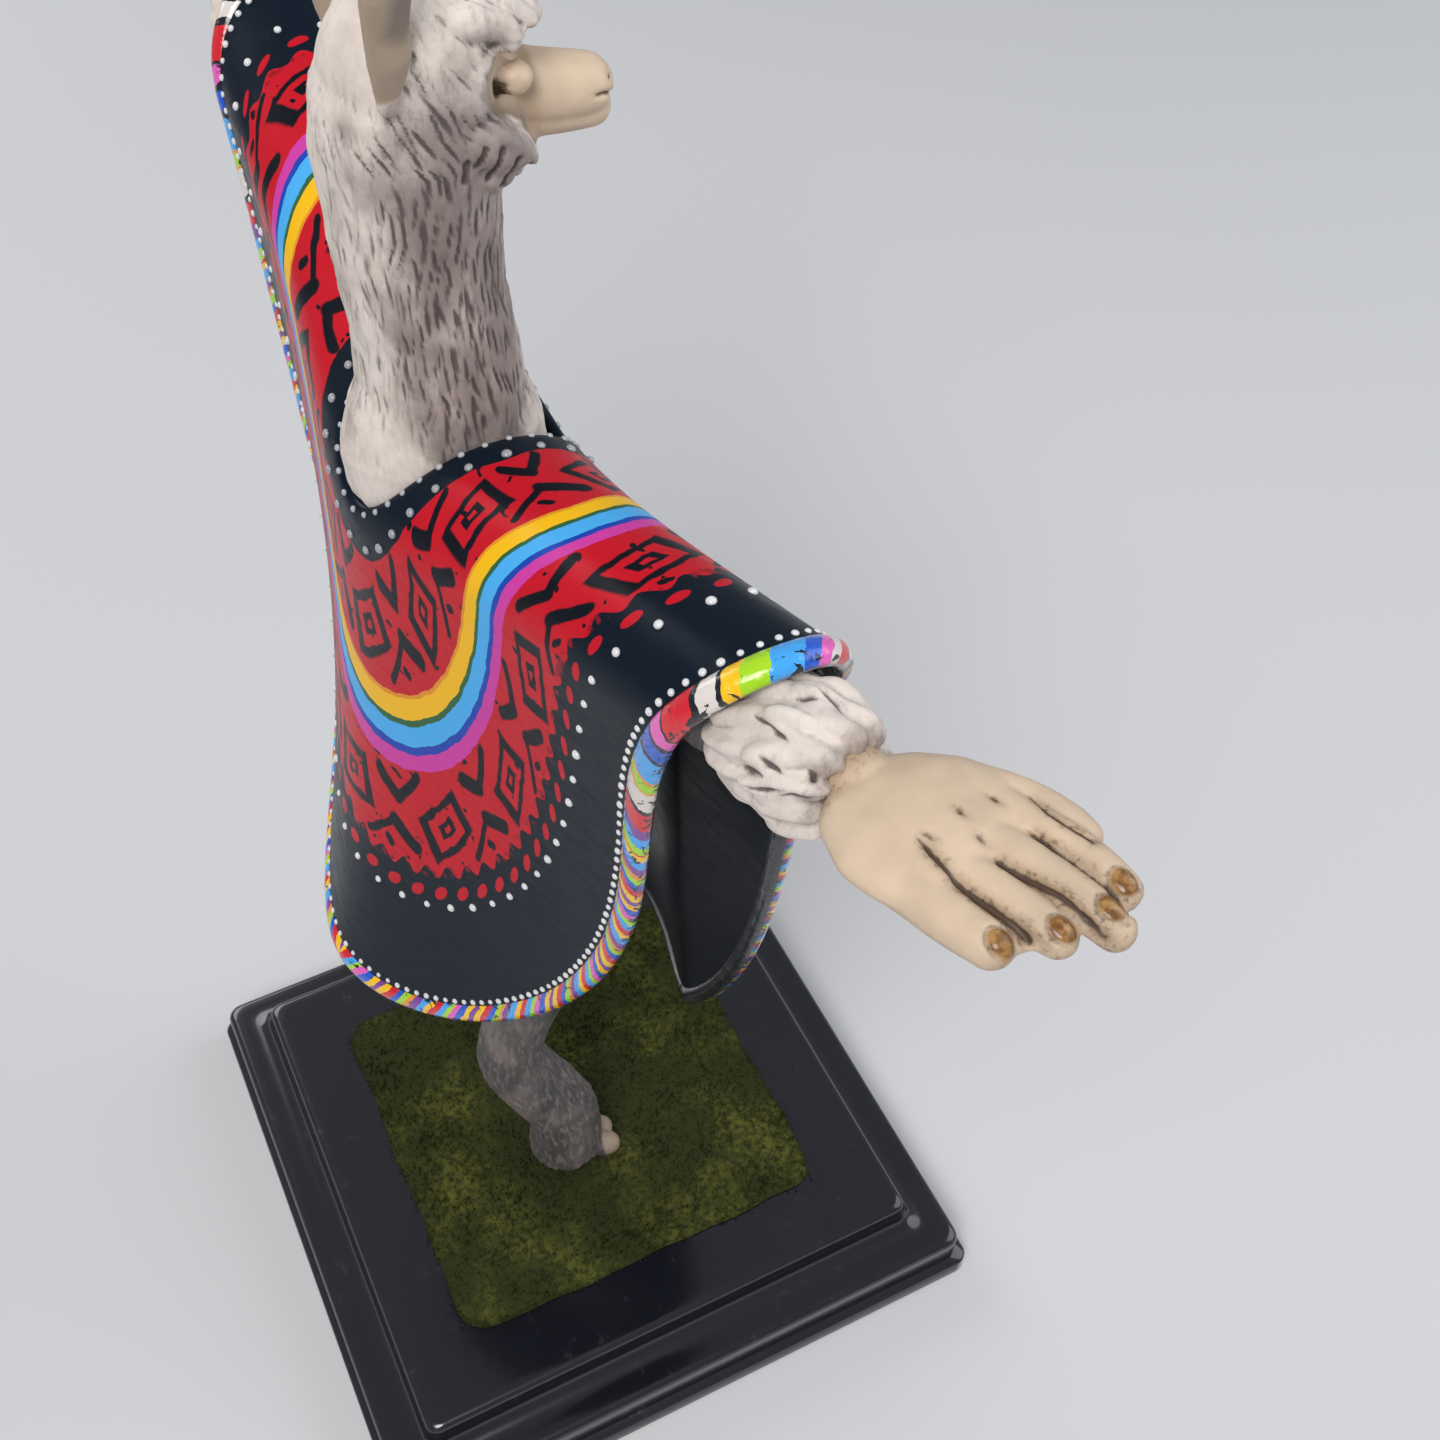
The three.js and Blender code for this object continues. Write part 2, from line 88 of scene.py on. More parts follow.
RED1 = (0.082, 0.31)
RAINBOW = (0.312, 0.458)
RED2 = (0.46, 0.658)
OVALS = 0.705
OVAL_PITCH = 4.5


# Working in Blender


def only(obj=None):
    """Leaves nothing selected but obj."""
    if bpy.context.object and bpy.context.object.mode != "OBJECT":
        bpy.ops.object.mode_set(mode="OBJECT")
    bpy.ops.object.select_all(action="DESELECT")
    if obj is not None:
        obj.select_set(True)
        bpy.context.view_layer.objects.active = obj


def face_outward(obj):
    only(obj)
    bpy.ops.object.mode_set(mode="EDIT")
    bpy.ops.mesh.select_all(action="SELECT")
    bpy.ops.mesh.normals_make_consistent(inside=False)
    bpy.ops.object.mode_set(mode="OBJECT")


def from_arrays(name, verts, faces, smooth=True):
    """A mesh object from points and faces."""
    mesh = bpy.data.meshes.new(name)
    mesh.from_pydata(np.asarray(verts, float).tolist(), [], faces)
    mesh.update()
    if smooth:
        mesh.polygons.foreach_set("use_smooth", [True] * len(mesh.polygons))
    obj = bpy.data.objects.new(name, mesh)
    bpy.context.scene.collection.objects.link(obj)
    return obj


def points_of(obj, what="co"):
    out = np.empty(len(obj.data.vertices) * 3)
    obj.data.vertices.foreach_get(what, out)
    return out.reshape(-1, 3)


def put_points(obj, points):
    obj.data.vertices.foreach_set("co", np.ascontiguousarray(points).ravel())
    obj.data.update()


def keep_values(obj, name, values):
    """Stores one number for each point of the mesh, for the materials to read."""
    layer = obj.data.attributes.new(name, "FLOAT", "POINT")
    layer.data.foreach_set("value", np.ascontiguousarray(values, dtype=np.float32))


def put_uv(obj, name, uv_of_corner):
    layer = obj.data.uv_layers.new(name=name)
    layer.data.foreach_set("uv", np.ascontiguousarray(uv_of_corner, dtype=np.float32).ravel())


def relaxed(obj, rounds):
    """The mesh's points after so many rounds of averaging with their neighbours."""
    edges = np.empty(len(obj.data.edges) * 2, dtype=np.int64)
    obj.data.edges.foreach_get("vertices", edges)
    a, b = edges.reshape(-1, 2).T
    points = points_of(obj)
    count = np.bincount(a, minlength=len(points)) + np.bincount(b, minlength=len(points))
    count = np.maximum(count, 1)[:, None]
    for _ in range(rounds):
        total = np.zeros_like(points)
        for k in range(3):
            total[:, k] = np.bincount(a, points[b, k], len(points))
            total[:, k] += np.bincount(b, points[a, k], len(points))
        points = 0.5 * points + 0.5 * total / count
    return points


def grain(points, stretch, seed=0.0):
    """Noise at each point, from -1 to 1, after scaling the three axes by `stretch`."""
    scaled = points * np.asarray(stretch) + seed
    return np.array([noise.noise(Vector(p)) for p in scaled])


def unit(vectors):
    return vectors / np.linalg.norm(vectors, axis=-1, keepdims=True)


def ramp(value, low, high):
    """How far value has gone from low to high, 0 to 1."""
    return np.clip((value - low) / (high - low), 0, 1)


def bell(value, width):
    """1 where value is 0, falling off softly over width to both sides."""
    return np.exp(-((value / width) ** 2))


# Materials


class Value:
    """A number or colour that a material works out."""

    def __init__(self, paint, socket):
        self.paint = paint
        self.socket = socket

    def __add__(self, other):
        return self.paint.math("ADD", self, other)

    def __sub__(self, other):
        return self.paint.math("SUBTRACT", self, other)

    def __mul__(self, other):
        return self.paint.math("MULTIPLY", self, other)

    def __truediv__(self, other):
        return self.paint.math("DIVIDE", self, other)

    def __pow__(self, other):
        return self.paint.math("POWER", self, other)

    def __gt__(self, other):
        return self.paint.math("GREATER_THAN", self, other)

    def __lt__(self, other):
        return self.paint.math("LESS_THAN", self, other)

    def __abs__(self):
        return self.paint.math("ABSOLUTE", self)


class Paint:
    """One material's nodes. Each step gives a Value, and takes Values, numbers and colours."""

    def __init__(self, name):
        self.material = bpy.data.materials.new(name)
        self.material.use_nodes = True
        self.tree = self.material.node_tree
        self.tree.nodes.clear()
        output = self.tree.nodes.new("ShaderNodeOutputMaterial")
        self.shader = self.tree.nodes.new("ShaderNodeBsdfPrincipled")
        self.tree.links.new(self.shader.outputs["BSDF"], output.inputs["Surface"])
        self.place = self.add("TexCoord", output="Object")

    def add(self, kind, inputs=(), output=0, **settings):
        node = self.tree.nodes.new("ShaderNode" + kind)
        for key, value in settings.items():
            setattr(node, key, value)
        for key, value in dict(inputs).items():
            self.feed(node.inputs[key], value)
        return Value(self, node.outputs[output])

    def feed(self, socket, value):
        if isinstance(value, Value):
            self.tree.links.new(value.socket, socket)
        elif socket.type == "RGBA":
            socket.default_value = (*value, 1.0)
        else:
            socket.default_value = value

    def math(self, operation, a, b=0.0, clamp=False):
        return self.add("Math", {0: a, 1: b}, operation=operation, use_clamp=clamp)

    def vector(self, operation, a, b, output=0):
        return self.add("VectorMath", {0: a, 1: b}, output, operation=operation)

    def value(self, name):
        return self.add("Attribute", output="Fac", attribute_name=name)

    def uv(self, name):
        both = self.add("UVMap", uv_map=name)
        return [self.add("SeparateXYZ", {0: both}, axis) for axis in (0, 1)]

    def noise(self, scale, detail=3.0, rough=0.5, distortion=0.0):
        """Noise over the piece; scale is one number, or one for each axis."""
        place = self.place
        if isinstance(scale, tuple):
            place = self.add("Mapping", {"Vector": place, "Scale": scale})
            scale = 1.0
        settings = {"Vector": place, "Scale": scale, "Detail": detail, "Roughness": rough}
        return self.add("TexNoise", {**settings, "Distortion": distortion})

    def span(self, value, low, high, to_low=0.0, to_high=1.0):
        """Carries value from low..high to to_low..to_high, smoothly, and no further."""
        ends = {"From Min": low, "From Max": high, "To Min": to_low, "To Max": to_high}
        return self.add("MapRange", {"Value": value, **ends}, interpolation_type="SMOOTHSTEP")

    def mix(self, share, a, b):
        """Colour b over colour a, by share."""
        return self.add("Mix", {0: share, 6: a, 7: b}, 2, data_type="RGBA")

    def bands(self, value, stops):
        """Flat colours along value, each from its own place on."""
        both = self.add("ValToRGB", {0: value})
        ramp_ = both.socket.node.color_ramp
        ramp_.interpolation = "CONSTANT"
        for number, (place, colour) in enumerate(stops):
            stop = ramp_.elements[number] if number < 2 else ramp_.elements.new(place)
            stop.position = place
            stop.color = (*colour, 1.0)
        return both

    def bump(self, height, strength, distance):
        return self.add("Bump", {"Height": height, "Strength": strength, "Distance": distance})

    def finish(self, **sockets):
        for key, value in sockets.items():
            self.feed(self.shader.inputs[key.replace("_", " ")], value)
        return self.material


# Shapes


def path_points(points, places):
    """Points on a smooth curve through `points` at shares of its length, and that length."""
    p = np.asarray(points, float)
    p = np.vstack([2 * p[0] - p[1], p, 2 * p[-1] - p[-2]])
    parts = []
    t = np.linspace(0, 1, 14, endpoint=False)[:, None]
    for a, b, c, d in zip(p, p[1:], p[2:], p[3:]):
        parts.append(
            0.5 * (2 * b + (c - a) * t + (2 * a - 5 * b + 4 * c - d) * t**2 + (3 * b - a - 3 * c + d) * t**3)
        )
    line = np.vstack([*parts, p[-2][None]])
    far = lengths_along(line)
    want = np.asarray(places) * far[-1]
    return np.stack([np.interp(want, far, line[:, k]) for k in range(3)], 1), far[-1]


def lengths_along(line):
    """How far along a line of points each of them is."""
    return np.r_[0, np.cumsum(np.linalg.norm(np.diff(line, axis=0), axis=1))]


def limb(points, radii, sides=24, rows=24, flat=1.0, side=(1, 0, 0), ends=(1.0, 1.0)):
    """A closed rounded limb along a smooth path: its points and faces."""
    t = 0.5 - 0.5 * np.cos(np.linspace(0, math.pi, rows + 1))
    centre, length = path_points(points, t)
    tangent = unit(np.gradient(centre, axis=0))
    side = np.asarray(side, float)
    across = unit(side - tangent * (tangent @ side)[:, None])
    over = np.cross(tangent, across)
    radius = np.interp(t, np.linspace(0, 1, len(radii)), radii)
    near = np.minimum(1, t * length / (ends[0] * radii[0] + 1e-6))
    far = np.minimum(1, (1 - t) * length / (ends[1] * radii[-1] + 1e-6))
    radius = radius * np.sqrt(1 - (1 - near) ** 2) * np.sqrt(1 - (1 - far) ** 2)
    angle = np.linspace(0, TURN, sides, endpoint=False)
    reach = radius[1:-1, None]
    ring = (
        centre[1:-1, None]
        + across[1:-1, None] * (np.cos(angle) * reach)[..., None]
        + over[1:-1, None] * (np.sin(angle) * reach * flat)[..., None]
    )
    verts = np.vstack([ring.reshape(-1, 3), centre[:1], centre[-1:]])
    count = rows - 1
    first, last = count * sides, count * sides + 1
    faces = tube_faces(count, sides)
    for i in range(sides):
        j = (i + 1) % sides
        faces.append((first, j, i))
        faces.append((last, first - sides + i, first - sides + j))
    return verts, faces


def tube_faces(rows, sides):
    """Faces between rows of points that each close round."""
    faces = []
    for start in range(0, (rows - 1) * sides, sides):
        for i in range(sides):
            j = (i + 1) % sides
            faces.append((start + i, start + j, start + sides + j, start + sides + i))
    return faces


def ball(centre, radii, sides=28, rows=18):
    """A closed ellipsoid: its points and faces."""
    verts, faces = limb([(0, 0, -1), (0, 0, 1)], [1, 1], sides, rows)
    round_ = np.sqrt(np.maximum(0, 1 - verts[:, 2] ** 2))
    flat = np.linalg.norm(verts[:, :2], axis=1)
    verts[:, :2] *= np.where(flat > 1e-6, round_ / np.maximum(flat, 1e-6), 0)[:, None]
    return verts * radii + centre, faces


def lock(root, middle, tip, width, thin=0.25, sides=7, rows=7):
    """A pointed lock of wool."""
    radii = [width * 0.8, width, width * 0.8, width * thin]
    return limb([root, middle, tip], radii, sides, rows, ends=(0.8, 0.6))


def sculpt(name, parts, voxel, evening):
    """One skin over closed parts that run into each other, still in millimetres."""
    verts, faces, start = [], [], 0
    for part_verts, part_faces in parts:
        verts.append(part_verts)
        faces.extend(tuple(i + start for i in face) for face in part_faces)
        start += len(part_verts)
    obj = from_arrays(name, np.vstack(verts), faces)
    only(obj)
    skin = obj.modifiers.new("skin", "REMESH")
    skin.mode = "VOXEL"
    skin.voxel_size = voxel
    skin.use_smooth_shade = True
    bpy.ops.object.modifier_apply(modifier=skin.name)
    put_points(obj, relaxed(obj, evening))
    return obj


def near_line(points, line):
    """Distance in the plane to a line of points, and how far along it is, 0 to 1."""
    best = np.full(len(points), 1e9)
    where = np.zeros(len(points))
    line = np.asarray(line, float)
    count = len(line) - 1
    for k in range(count):
        a, b = line[k], line[k + 1]
        step = b - a
        t = np.clip((points - a) @ step / (step @ step), 0, 1)
        away = np.linalg.norm(points - a - t[:, None] * step, axis=1)
        closer = away < best
        best[closer] = away[closer]
        where[closer] = (k + t[closer]) / count
    return best, where


# The poncho's surface, as the solid has it but for its lengths


def ridge(s):
    """The line over neck and arms that the cloth hangs from, at s across: y, z and its radius."""
    out = np.hypot(s, 10.0) - 10.0
    y = 3.0 - 0.15 * out + 0.085 * s
    z = 151.8 + 0.278 * out + 0.1 * s
    return y, z, 8.5 + 3.5 * bell(s, 18.0)


def drape(s, down):
    """A point of the sheet: s across, and so far down the back (+) or the front (-)."""
    y, z, radius = ridge(s)
    reach = np.abs(down)
    behind = down > 0
    fade = np.maximum(0, 1 - np.abs(s / np.where(behind, 42.0, 26.0)) ** 1.6)
    turn = math.pi / 2 - np.radians(np.where(behind, 4.0, 5.0)) * fade
    angle = np.minimum(reach / radius, turn)
    rest = reach - angle * radius
    out = radius * np.sin(angle) + rest * np.cos(turn) + np.where(behind, 5.8 * fade * (rest / 60.0) ** 2, 0)
    drop = radius * (1 - np.cos(angle)) + rest * np.sin(turn)
    return np.stack([s, y + np.sign(down) * out, z - drop], -1)


def oval(angle, half_width, back, front, power):
    c, s = np.cos(angle), np.sin(angle)
    x = np.sign(c) * np.abs(c) ** (2 / power) * half_width
    y = np.sign(s) * np.abs(s) ** (2 / power) * np.where(s > 0, back, front)
    return np.stack([x, y], -1)


def collar_line(angle):
    return oval(angle, COLLAR_RADIUS, COLLAR_LENGTH, COLLAR_LENGTH, 2)


def hem_line(angle):
    place = oval(angle, PANEL_HALF_WIDTH, BACK_LENGTH, FRONT_LENGTH, HEM_POWER)
    flare = (RIGHT_REACH - PANEL_HALF_WIDTH) * bell(place[..., 1], FLARE_DEPTH)
    place[..., 0] += np.sign(np.cos(angle)) * flare
    place[..., 0] *= np.where(place[..., 0] > 0, LEFT_REACH / RIGHT_REACH, 1.0)
    return place


def reach_of(angle):
    """How long the cloth is from the collar to the hem at an angle."""
    return np.linalg.norm(hem_line(angle) - collar_line(angle), axis=-1)


def sheet(angle, share):
    """Points of the sheet's middle at angles round the collar and shares of the way to the hem."""
    start, end = collar_line(angle), hem_line(angle)
    place = start + (end - start) * np.asarray(share)[..., None]
    return drape(place[..., 0], place[..., 1])


def outward_of(angle, share, step=0.002):
    """The way to the hem along the sheet."""
    return unit(sheet(angle, share + step) - sheet(angle, share - step))


def sheet_normal(angle, share):
    step = 1e-3
    along = sheet(angle, share + step) - sheet(angle, share - step)
    round_ = sheet(angle + step, share) - sheet(angle - step, share)
    return unit(np.cross(along, round_))


def around_sheet(share, steps=6000):
    """Fine angles round the poncho, and how far each is along the ring at `share`."""
    fine = np.linspace(0, TURN, steps + 1)
    return fine, lengths_along(sheet(fine, share(fine) if callable(share) else np.full(fine.shape, share)))


def spoke_angles(count, share, crowd=0.0):
    """Angles that space a ring of the sheet evenly; crowd draws them to the arms."""
    fine, far = around_sheet(share)
    at_arms = 1 + crowd * bell(hem_line(fine)[:-1, 1], 1.5 * FLARE_DEPTH)
    far = np.r_[0, np.cumsum(np.diff(far) * at_arms)]
    return np.interp(np.arange(count) / count * far[-1], far, fine)


def turn_of(angle):
    """How far round the poncho an angle is, 0 to 1, half of it behind the arms and half before."""
    fine, far = around_sheet(0.45)
    half = far[len(far) // 2]
    share = np.where(far < half, far / half / 2, 0.5 + (far - half) / (far[-1] - half) / 2)
    return np.interp(angle, fine, share)


def painted_share(angle, share):
    """Where on the pattern a place of the cloth is: the bands lie further out on the left sleeve."""
    left = np.clip(np.cos(1.5 * (np.mod(angle + math.pi, TURN) - math.pi)), 0, 1)
    left = np.where(np.cos(angle) > 0.5, left, 0)
    return share - 0.11 * left * np.sin(math.pi * share)


def share_painted(angle, painted):
    """The share of the way to the hem at which the pattern's place `painted` lies."""
    share = np.broadcast_to(painted, np.shape(angle)).astype(float).copy()
    for _ in range(40):
        share += 0.6 * (painted - painted_share(angle, share))
    return share


def oval_row():
    """Fine angles, how many painted ovals lie before each of them, and how many there are."""
    fine, far = around_sheet(lambda angle: share_painted(angle, OVALS), 3000)
    count = int(round(far[-1] / OVAL_PITCH))
    return fine, far / far[-1] * count, count


def put_ring_uv(obj, name, u, last_u, v):
    """Coordinates for faces made by ring_faces: u[i] round, and v[i, k] across."""
    around, across = v.shape
    corners = []
    for i in range(around):
        j = (i + 1) % around
        far = u[j] if j else last_u
        for k in range(across):
            m = (k + 1) % across
            corners += [(u[i], v[i, k]), (u[i], v[i, m]), (far, v[j, m]), (far, v[j, k])]
    put_uv(obj, name, corners)


def ring_faces(around, across):
    """Faces of a grid that closes round and across."""
    faces = []
    for i in range(around):
        j = (i + 1) % around
        for k in range(across):
            m = (k + 1) % across
            faces.append((i * across + k, i * across + m, j * across + m, j * across + k))
    return faces


# Settings


class StatuetteSizes(bpy.types.PropertyGroup):
    camera_lens: bpy.props.FloatProperty(
        name="Lens", description="Focal length of the picture's camera", default=43.89, unit="CAMERA"
    )
    cloth_spokes: bpy.props.IntProperty(
        name="Cloth columns", description="Columns of the poncho's mesh round the collar", default=288
    )
    wool_voxel: bpy.props.FloatProperty(
        name="Wool detail", description="Finest detail of the head's wool, in millimetres", default=0.3
    )
    hand_voxel: bpy.props.FloatProperty(
        name="Hand detail", description="Finest detail of the hands, in millimetres", default=0.22
    )
    cuff_voxel: bpy.props.FloatProperty(
        name="Cuff detail", description="Finest detail of the cuffs, in millimetres", default=0.26
    )
    body_voxel: bpy.props.FloatProperty(
        name="Body detail", description="Finest detail of the body and legs, in millimetres", default=0.45
    )
    grass_blades: bpy.props.IntProperty(
        name="Blades", description="Blades of flock on the grass mat", default=9000
    )
    dot_radius: bpy.props.FloatProperty(
        name="Dot radius", description="Radius of a raised paint dot", default=0.00048, unit="LENGTH"
    )


def colour_setting(name, description, default):
    return bpy.props.FloatVectorProperty(
        name=name, description=description, default=default, subtype="COLOR", size=3, min=0, max=1
    )


class StatuetteColours(bpy.types.PropertyGroup):
    lacquer: colour_setting("Lacquer", "The plinth's black", (0.006, 0.007, 0.011))
    wool: colour_setting("Wool", "The carved wool's paint", (0.74, 0.66, 0.6))
    wash: colour_setting("Wash", "The dark wash in the wool's furrows", (0.085, 0.066, 0.064))
    skin: colour_setting("Skin", "Hands, snout and ears", (0.67, 0.52, 0.37))
    skin_wash: colour_setting("Skin wash", "The brown wash in the hands' creases", (0.075, 0.045, 0.028))
    nail: colour_setting("Nail", "The bronze brown of the nails", (0.17, 0.075, 0.022))
    cloth: colour_setting("Cloth", "The poncho's blue-black ground", (0.004, 0.0095, 0.019))
    band: colour_setting("Band", "The poncho's red bands", (0.58, 0.008, 0.02))
    dot: colour_setting("Dot", "The raised white dots", (0.82, 0.82, 0.8))
    grass: colour_setting("Grass", "The dark flock", (0.022, 0.027, 0.009))
    grass_tips: colour_setting("Grass tips", "The lighter tufts", (0.115, 0.12, 0.022))


# Plinth


def lacquer_paint(colour):
    paint = Paint("black_lacquer")
    drawn = paint.noise((900.0, 26.0, 900.0))
    dust = paint.span(paint.noise(260.0, 5, 0.7), 0.56, 0.8)
    return paint.finish(
        Base_Color=paint.mix(dust * 0.22, colour, (0.055, 0.058, 0.07)),
        Roughness=paint.span(dust, 0.0, 1.0, 0.2, 0.42),
        Coat_Weight=0.6,
        Coat_Roughness=0.12,
        Normal=paint.bump(paint.noise(60.0, 2) + drawn * 0.12, 0.25, 0.0004),
    )


class STATUETTE_OT_plinth(bpy.types.Operator):
    """Builds the moulded plinth, step by step from its foot"""

    bl_idname = "statuette.plinth"
    bl_label = "Plinth"

    def execute(self, context):
        inset = (PLINTH_SIDE - PLINTH_TOP_SIDE) / 2
        bead_top = PLINTH_HEIGHT - BEAD_RADIUS
        shelf = bead_top - BEAD_RADIUS - COVE_RADIUS

        def arc(cx, cz, radius, start, end, count=7):
            turn = np.radians(np.linspace(start, end, count))
            return [(cx + radius * math.cos(a), cz + radius * math.sin(a)) for a in turn]

        # how far in from the side, and how high, going up
        outline = [(0.0, 0.35), (0.0, FOOT_STEP - 0.3), (0.2, FOOT_STEP)]
        outline += [(BEAD_RADIUS, FOOT_STEP + BEAD_RADIUS * 0.4), (BEAD_RADIUS, shelf - BEAD_RADIUS - 1.0)]
        outline += arc(2 * BEAD_RADIUS, shelf - BEAD_RADIUS, BEAD_RADIUS, 180, 90)
        outline += [(inset - BEAD_RADIUS - COVE_RADIUS - 1.0, shelf)]
        outline += arc(inset - BEAD_RADIUS - COVE_RADIUS, shelf + COVE_RADIUS, COVE_RADIUS, -90, 0)
        outline += arc(inset, bead_top, BEAD_RADIUS, 180, 90)
        outline += [(inset + 1.2, PLINTH_HEIGHT)]

        only()
        start = PLINTH_SIDE - 0.5
        bpy.ops.mesh.primitive_plane_add(size=start * MM, location=(0, 0, 0))
        block = context.object
        block.name = "plinth_block"
        bpy.ops.object.mode_set(mode="EDIT")
        bpy.ops.mesh.select_all(action="SELECT")
        bpy.ops.mesh.bevel(offset=PLINTH_CORNER * MM, segments=6, affect="VERTICES")
        half, height = start / 2, 0.0
        for step, level in outline:
            share = (PLINTH_SIDE / 2 - step) / half
            bpy.ops.mesh.extrude_region_move(TRANSFORM_OT_translate={"value": (0, 0, (level - height) * MM)})
            bpy.ops.transform.resize(value=(share, share, 1), center_override=(0, 0, level * MM))
            half, height = PLINTH_SIDE / 2 - step, level
        bpy.ops.mesh.select_all(action="SELECT")
        bpy.ops.mesh.remove_doubles(threshold=1e-6)
        bpy.ops.mesh.normals_make_consistent(inside=False)
        bpy.ops.object.mode_set(mode="OBJECT")
        bpy.ops.object.shade_smooth_by_angle(angle=math.radians(34))
        block.data.materials.append(lacquer_paint(context.scene.statuette_colours.lacquer))
        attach(block, "root")
        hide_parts("plinth")
        return {"FINISHED"}


# Grass


def grass_paint(colour, tips):
    paint = Paint("grass_flock")
    clumps = paint.span(paint.noise(70.0, 4, 0.6), 0.44, 0.7)
    fine = paint.noise(900.0, 3, 0.6)
    light = clumps * paint.span(fine, 0.3, 0.7) * 0.75 + fine * 0.12
    return paint.finish(Base_Color=paint.mix(light, colour, tips), Roughness=0.95, Specular_IOR_Level=0.1)


def grass_edge(angle, half):
    """The mat's outline: a square with round corners, a little uneven."""
    flat = half - GRASS_CORNER
    c, s = np.abs(np.cos(angle)), np.abs(np.sin(angle))
    along = flat * (c + s)
    corner = along + np.sqrt(np.maximum(0, along**2 - 2 * flat**2 + GRASS_CORNER**2))
    straight = half / np.maximum(c, s)
    reach = np.where(straight * np.minimum(c, s) < flat, straight, corner)
    reach = reach * (1 + 0.006 * np.sin(angle * 9.0 + 1.0) + 0.004 * np.sin(angle * 23.0))
    return np.stack([np.cos(angle) * reach, np.sin(angle) * reach], -1)


class STATUETTE_OT_grass(bpy.types.Operator):
    """Builds the grass mat, its uneven slab and its flocked blades"""

    bl_idname = "statuette.grass"
    bl_label = "Grass"

    def execute(self, context):
        crown = PLINTH_HEIGHT + FIT_GAP + 0.55
        mat = self.slab(crown)
        flock = self.blades(crown, context.scene.statuette_sizes.grass_blades)
        colours = context.scene.statuette_colours
        material = grass_paint(colours.grass, colours.grass_tips)
        for obj in (mat, flock):
            obj.data.materials.append(material)
            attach(obj, "root")
        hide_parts("grass_mat")
        return {"FINISHED"}

    def slab(self, crown):
        around = 288
        base = PLINTH_HEIGHT + 0.05
        angle = np.linspace(0, TURN, around, endpoint=False) + 0.004
        edge = grass_edge(angle, GRASS_SIDE / 2)
        rows = [(1.0, base), (1.0, base + 0.3), (0.975, crown)]
        rows += [(share, crown) for share in np.linspace(0.9, 0.06, 15)]
        verts = []
        for share, height in rows:
            ring = np.c_[edge * share, np.full(around, height)]
            if height == crown:
                ring[:, 2] += 0.28 * grain(ring, (0.16, 0.16, 0)) + 0.15 * grain(ring, (0.5, 0.5, 0))
            verts.append(ring)
        faces = tube_faces(len(rows), around)
        faces.append(tuple(range(around))[::-1])
        faces.append(tuple((len(rows) - 1) * around + i for i in range(around)))
        return from_arrays("grass_slab", np.vstack(verts) * MM, faces)

    def blades(self, crown, count):
        """Closed three-sided blades, bent once, most of them in tufts."""
        rng = np.random.default_rng(7)
        half = FLOCK_SIDE / 2
        x, y = rng.uniform(-1, 1, (2, count)) * half
        limit = np.linalg.norm(grass_edge(np.arctan2(y, x), half), axis=1)
        keep = np.hypot(x, y) < limit * rng.uniform(0.965, 1.005, count)
        x, y = x[keep], y[keep]
        count = len(x)
        zero = np.zeros(count)
        tuft = grain(np.c_[x, y, zero], (0.13, 0.13, 1), 4.0)
        height = rng.uniform(0.5, 1.0, count) * (0.75 + 0.9 * np.maximum(0, tuft + 0.1))
        lean = rng.uniform(0, TURN, count)
        tilt = rng.uniform(0.1, 0.6, count) * height
        width = rng.uniform(0.1, 0.2, count)[:, None]
        foot = np.c_[x, y, zero + crown - 0.15]
        lie = np.c_[np.cos(lean), np.sin(lean), zero]
        face = np.c_[-np.sin(lean), np.cos(lean), zero] * width
        top = lie * tilt[:, None]
        mid = foot + top * 0.35 + np.c_[zero, zero, height * 0.6]
        tip = foot + top + np.c_[zero, zero, height]
        back = foot + lie * width * 1.6
        verts = np.stack([foot - face, foot + face, back, mid - face * 0.7, mid + face * 0.7, tip], 1)
        pattern = [(0, 1, 4, 3), (3, 4, 5), (1, 2, 4), (2, 0, 3), (2, 3, 5, 4), (0, 2, 1)]
        faces = [tuple(k + i for i in corners) for k in range(0, count * 6, 6) for corners in pattern]
        flock = from_arrays("grass_flock", verts.reshape(-1, 3) * MM, faces, smooth=False)
        face_outward(flock)
        return flock


# Poncho

BLACK = (0.004, 0.006, 0.011)
LINING = (0.003, 0.006, 0.012)
# Strokes of a hook, in widths and heights of its band: from, to, half as thick as
HOOKS = [
    ((0.44, 0.06), (0.06, 0.32), 0.06),
    ((0.06, 0.32), (-0.24, 0.14), 0.075),
    ((-0.42, 0.9), (-0.03, 0.58), 0.04),
    ((-0.03, 0.58), (0.26, 0.8), 0.075),
    ((-0.14, 0.82), (-0.09, 0.86), 0.04),
]


def stroke(paint, point, a, b):
    """Distance from a point to the stroke from a to b."""
    away = paint.vector("SUBTRACT", point, (*a, 0))
    line = (b[0] - a[0], b[1] - a[1], 0)
    along = paint.vector("DOT_PRODUCT", away, line, "Value")
    share = paint.math("MULTIPLY", along, 1 / (line[0] ** 2 + line[1] ** 2), clamp=True)
    foot = paint.add("VectorMath", {0: line, "Scale": share}, operation="SCALE")
    return paint.vector("LENGTH", paint.vector("SUBTRACT", away, foot), (0, 0, 0), "Value")


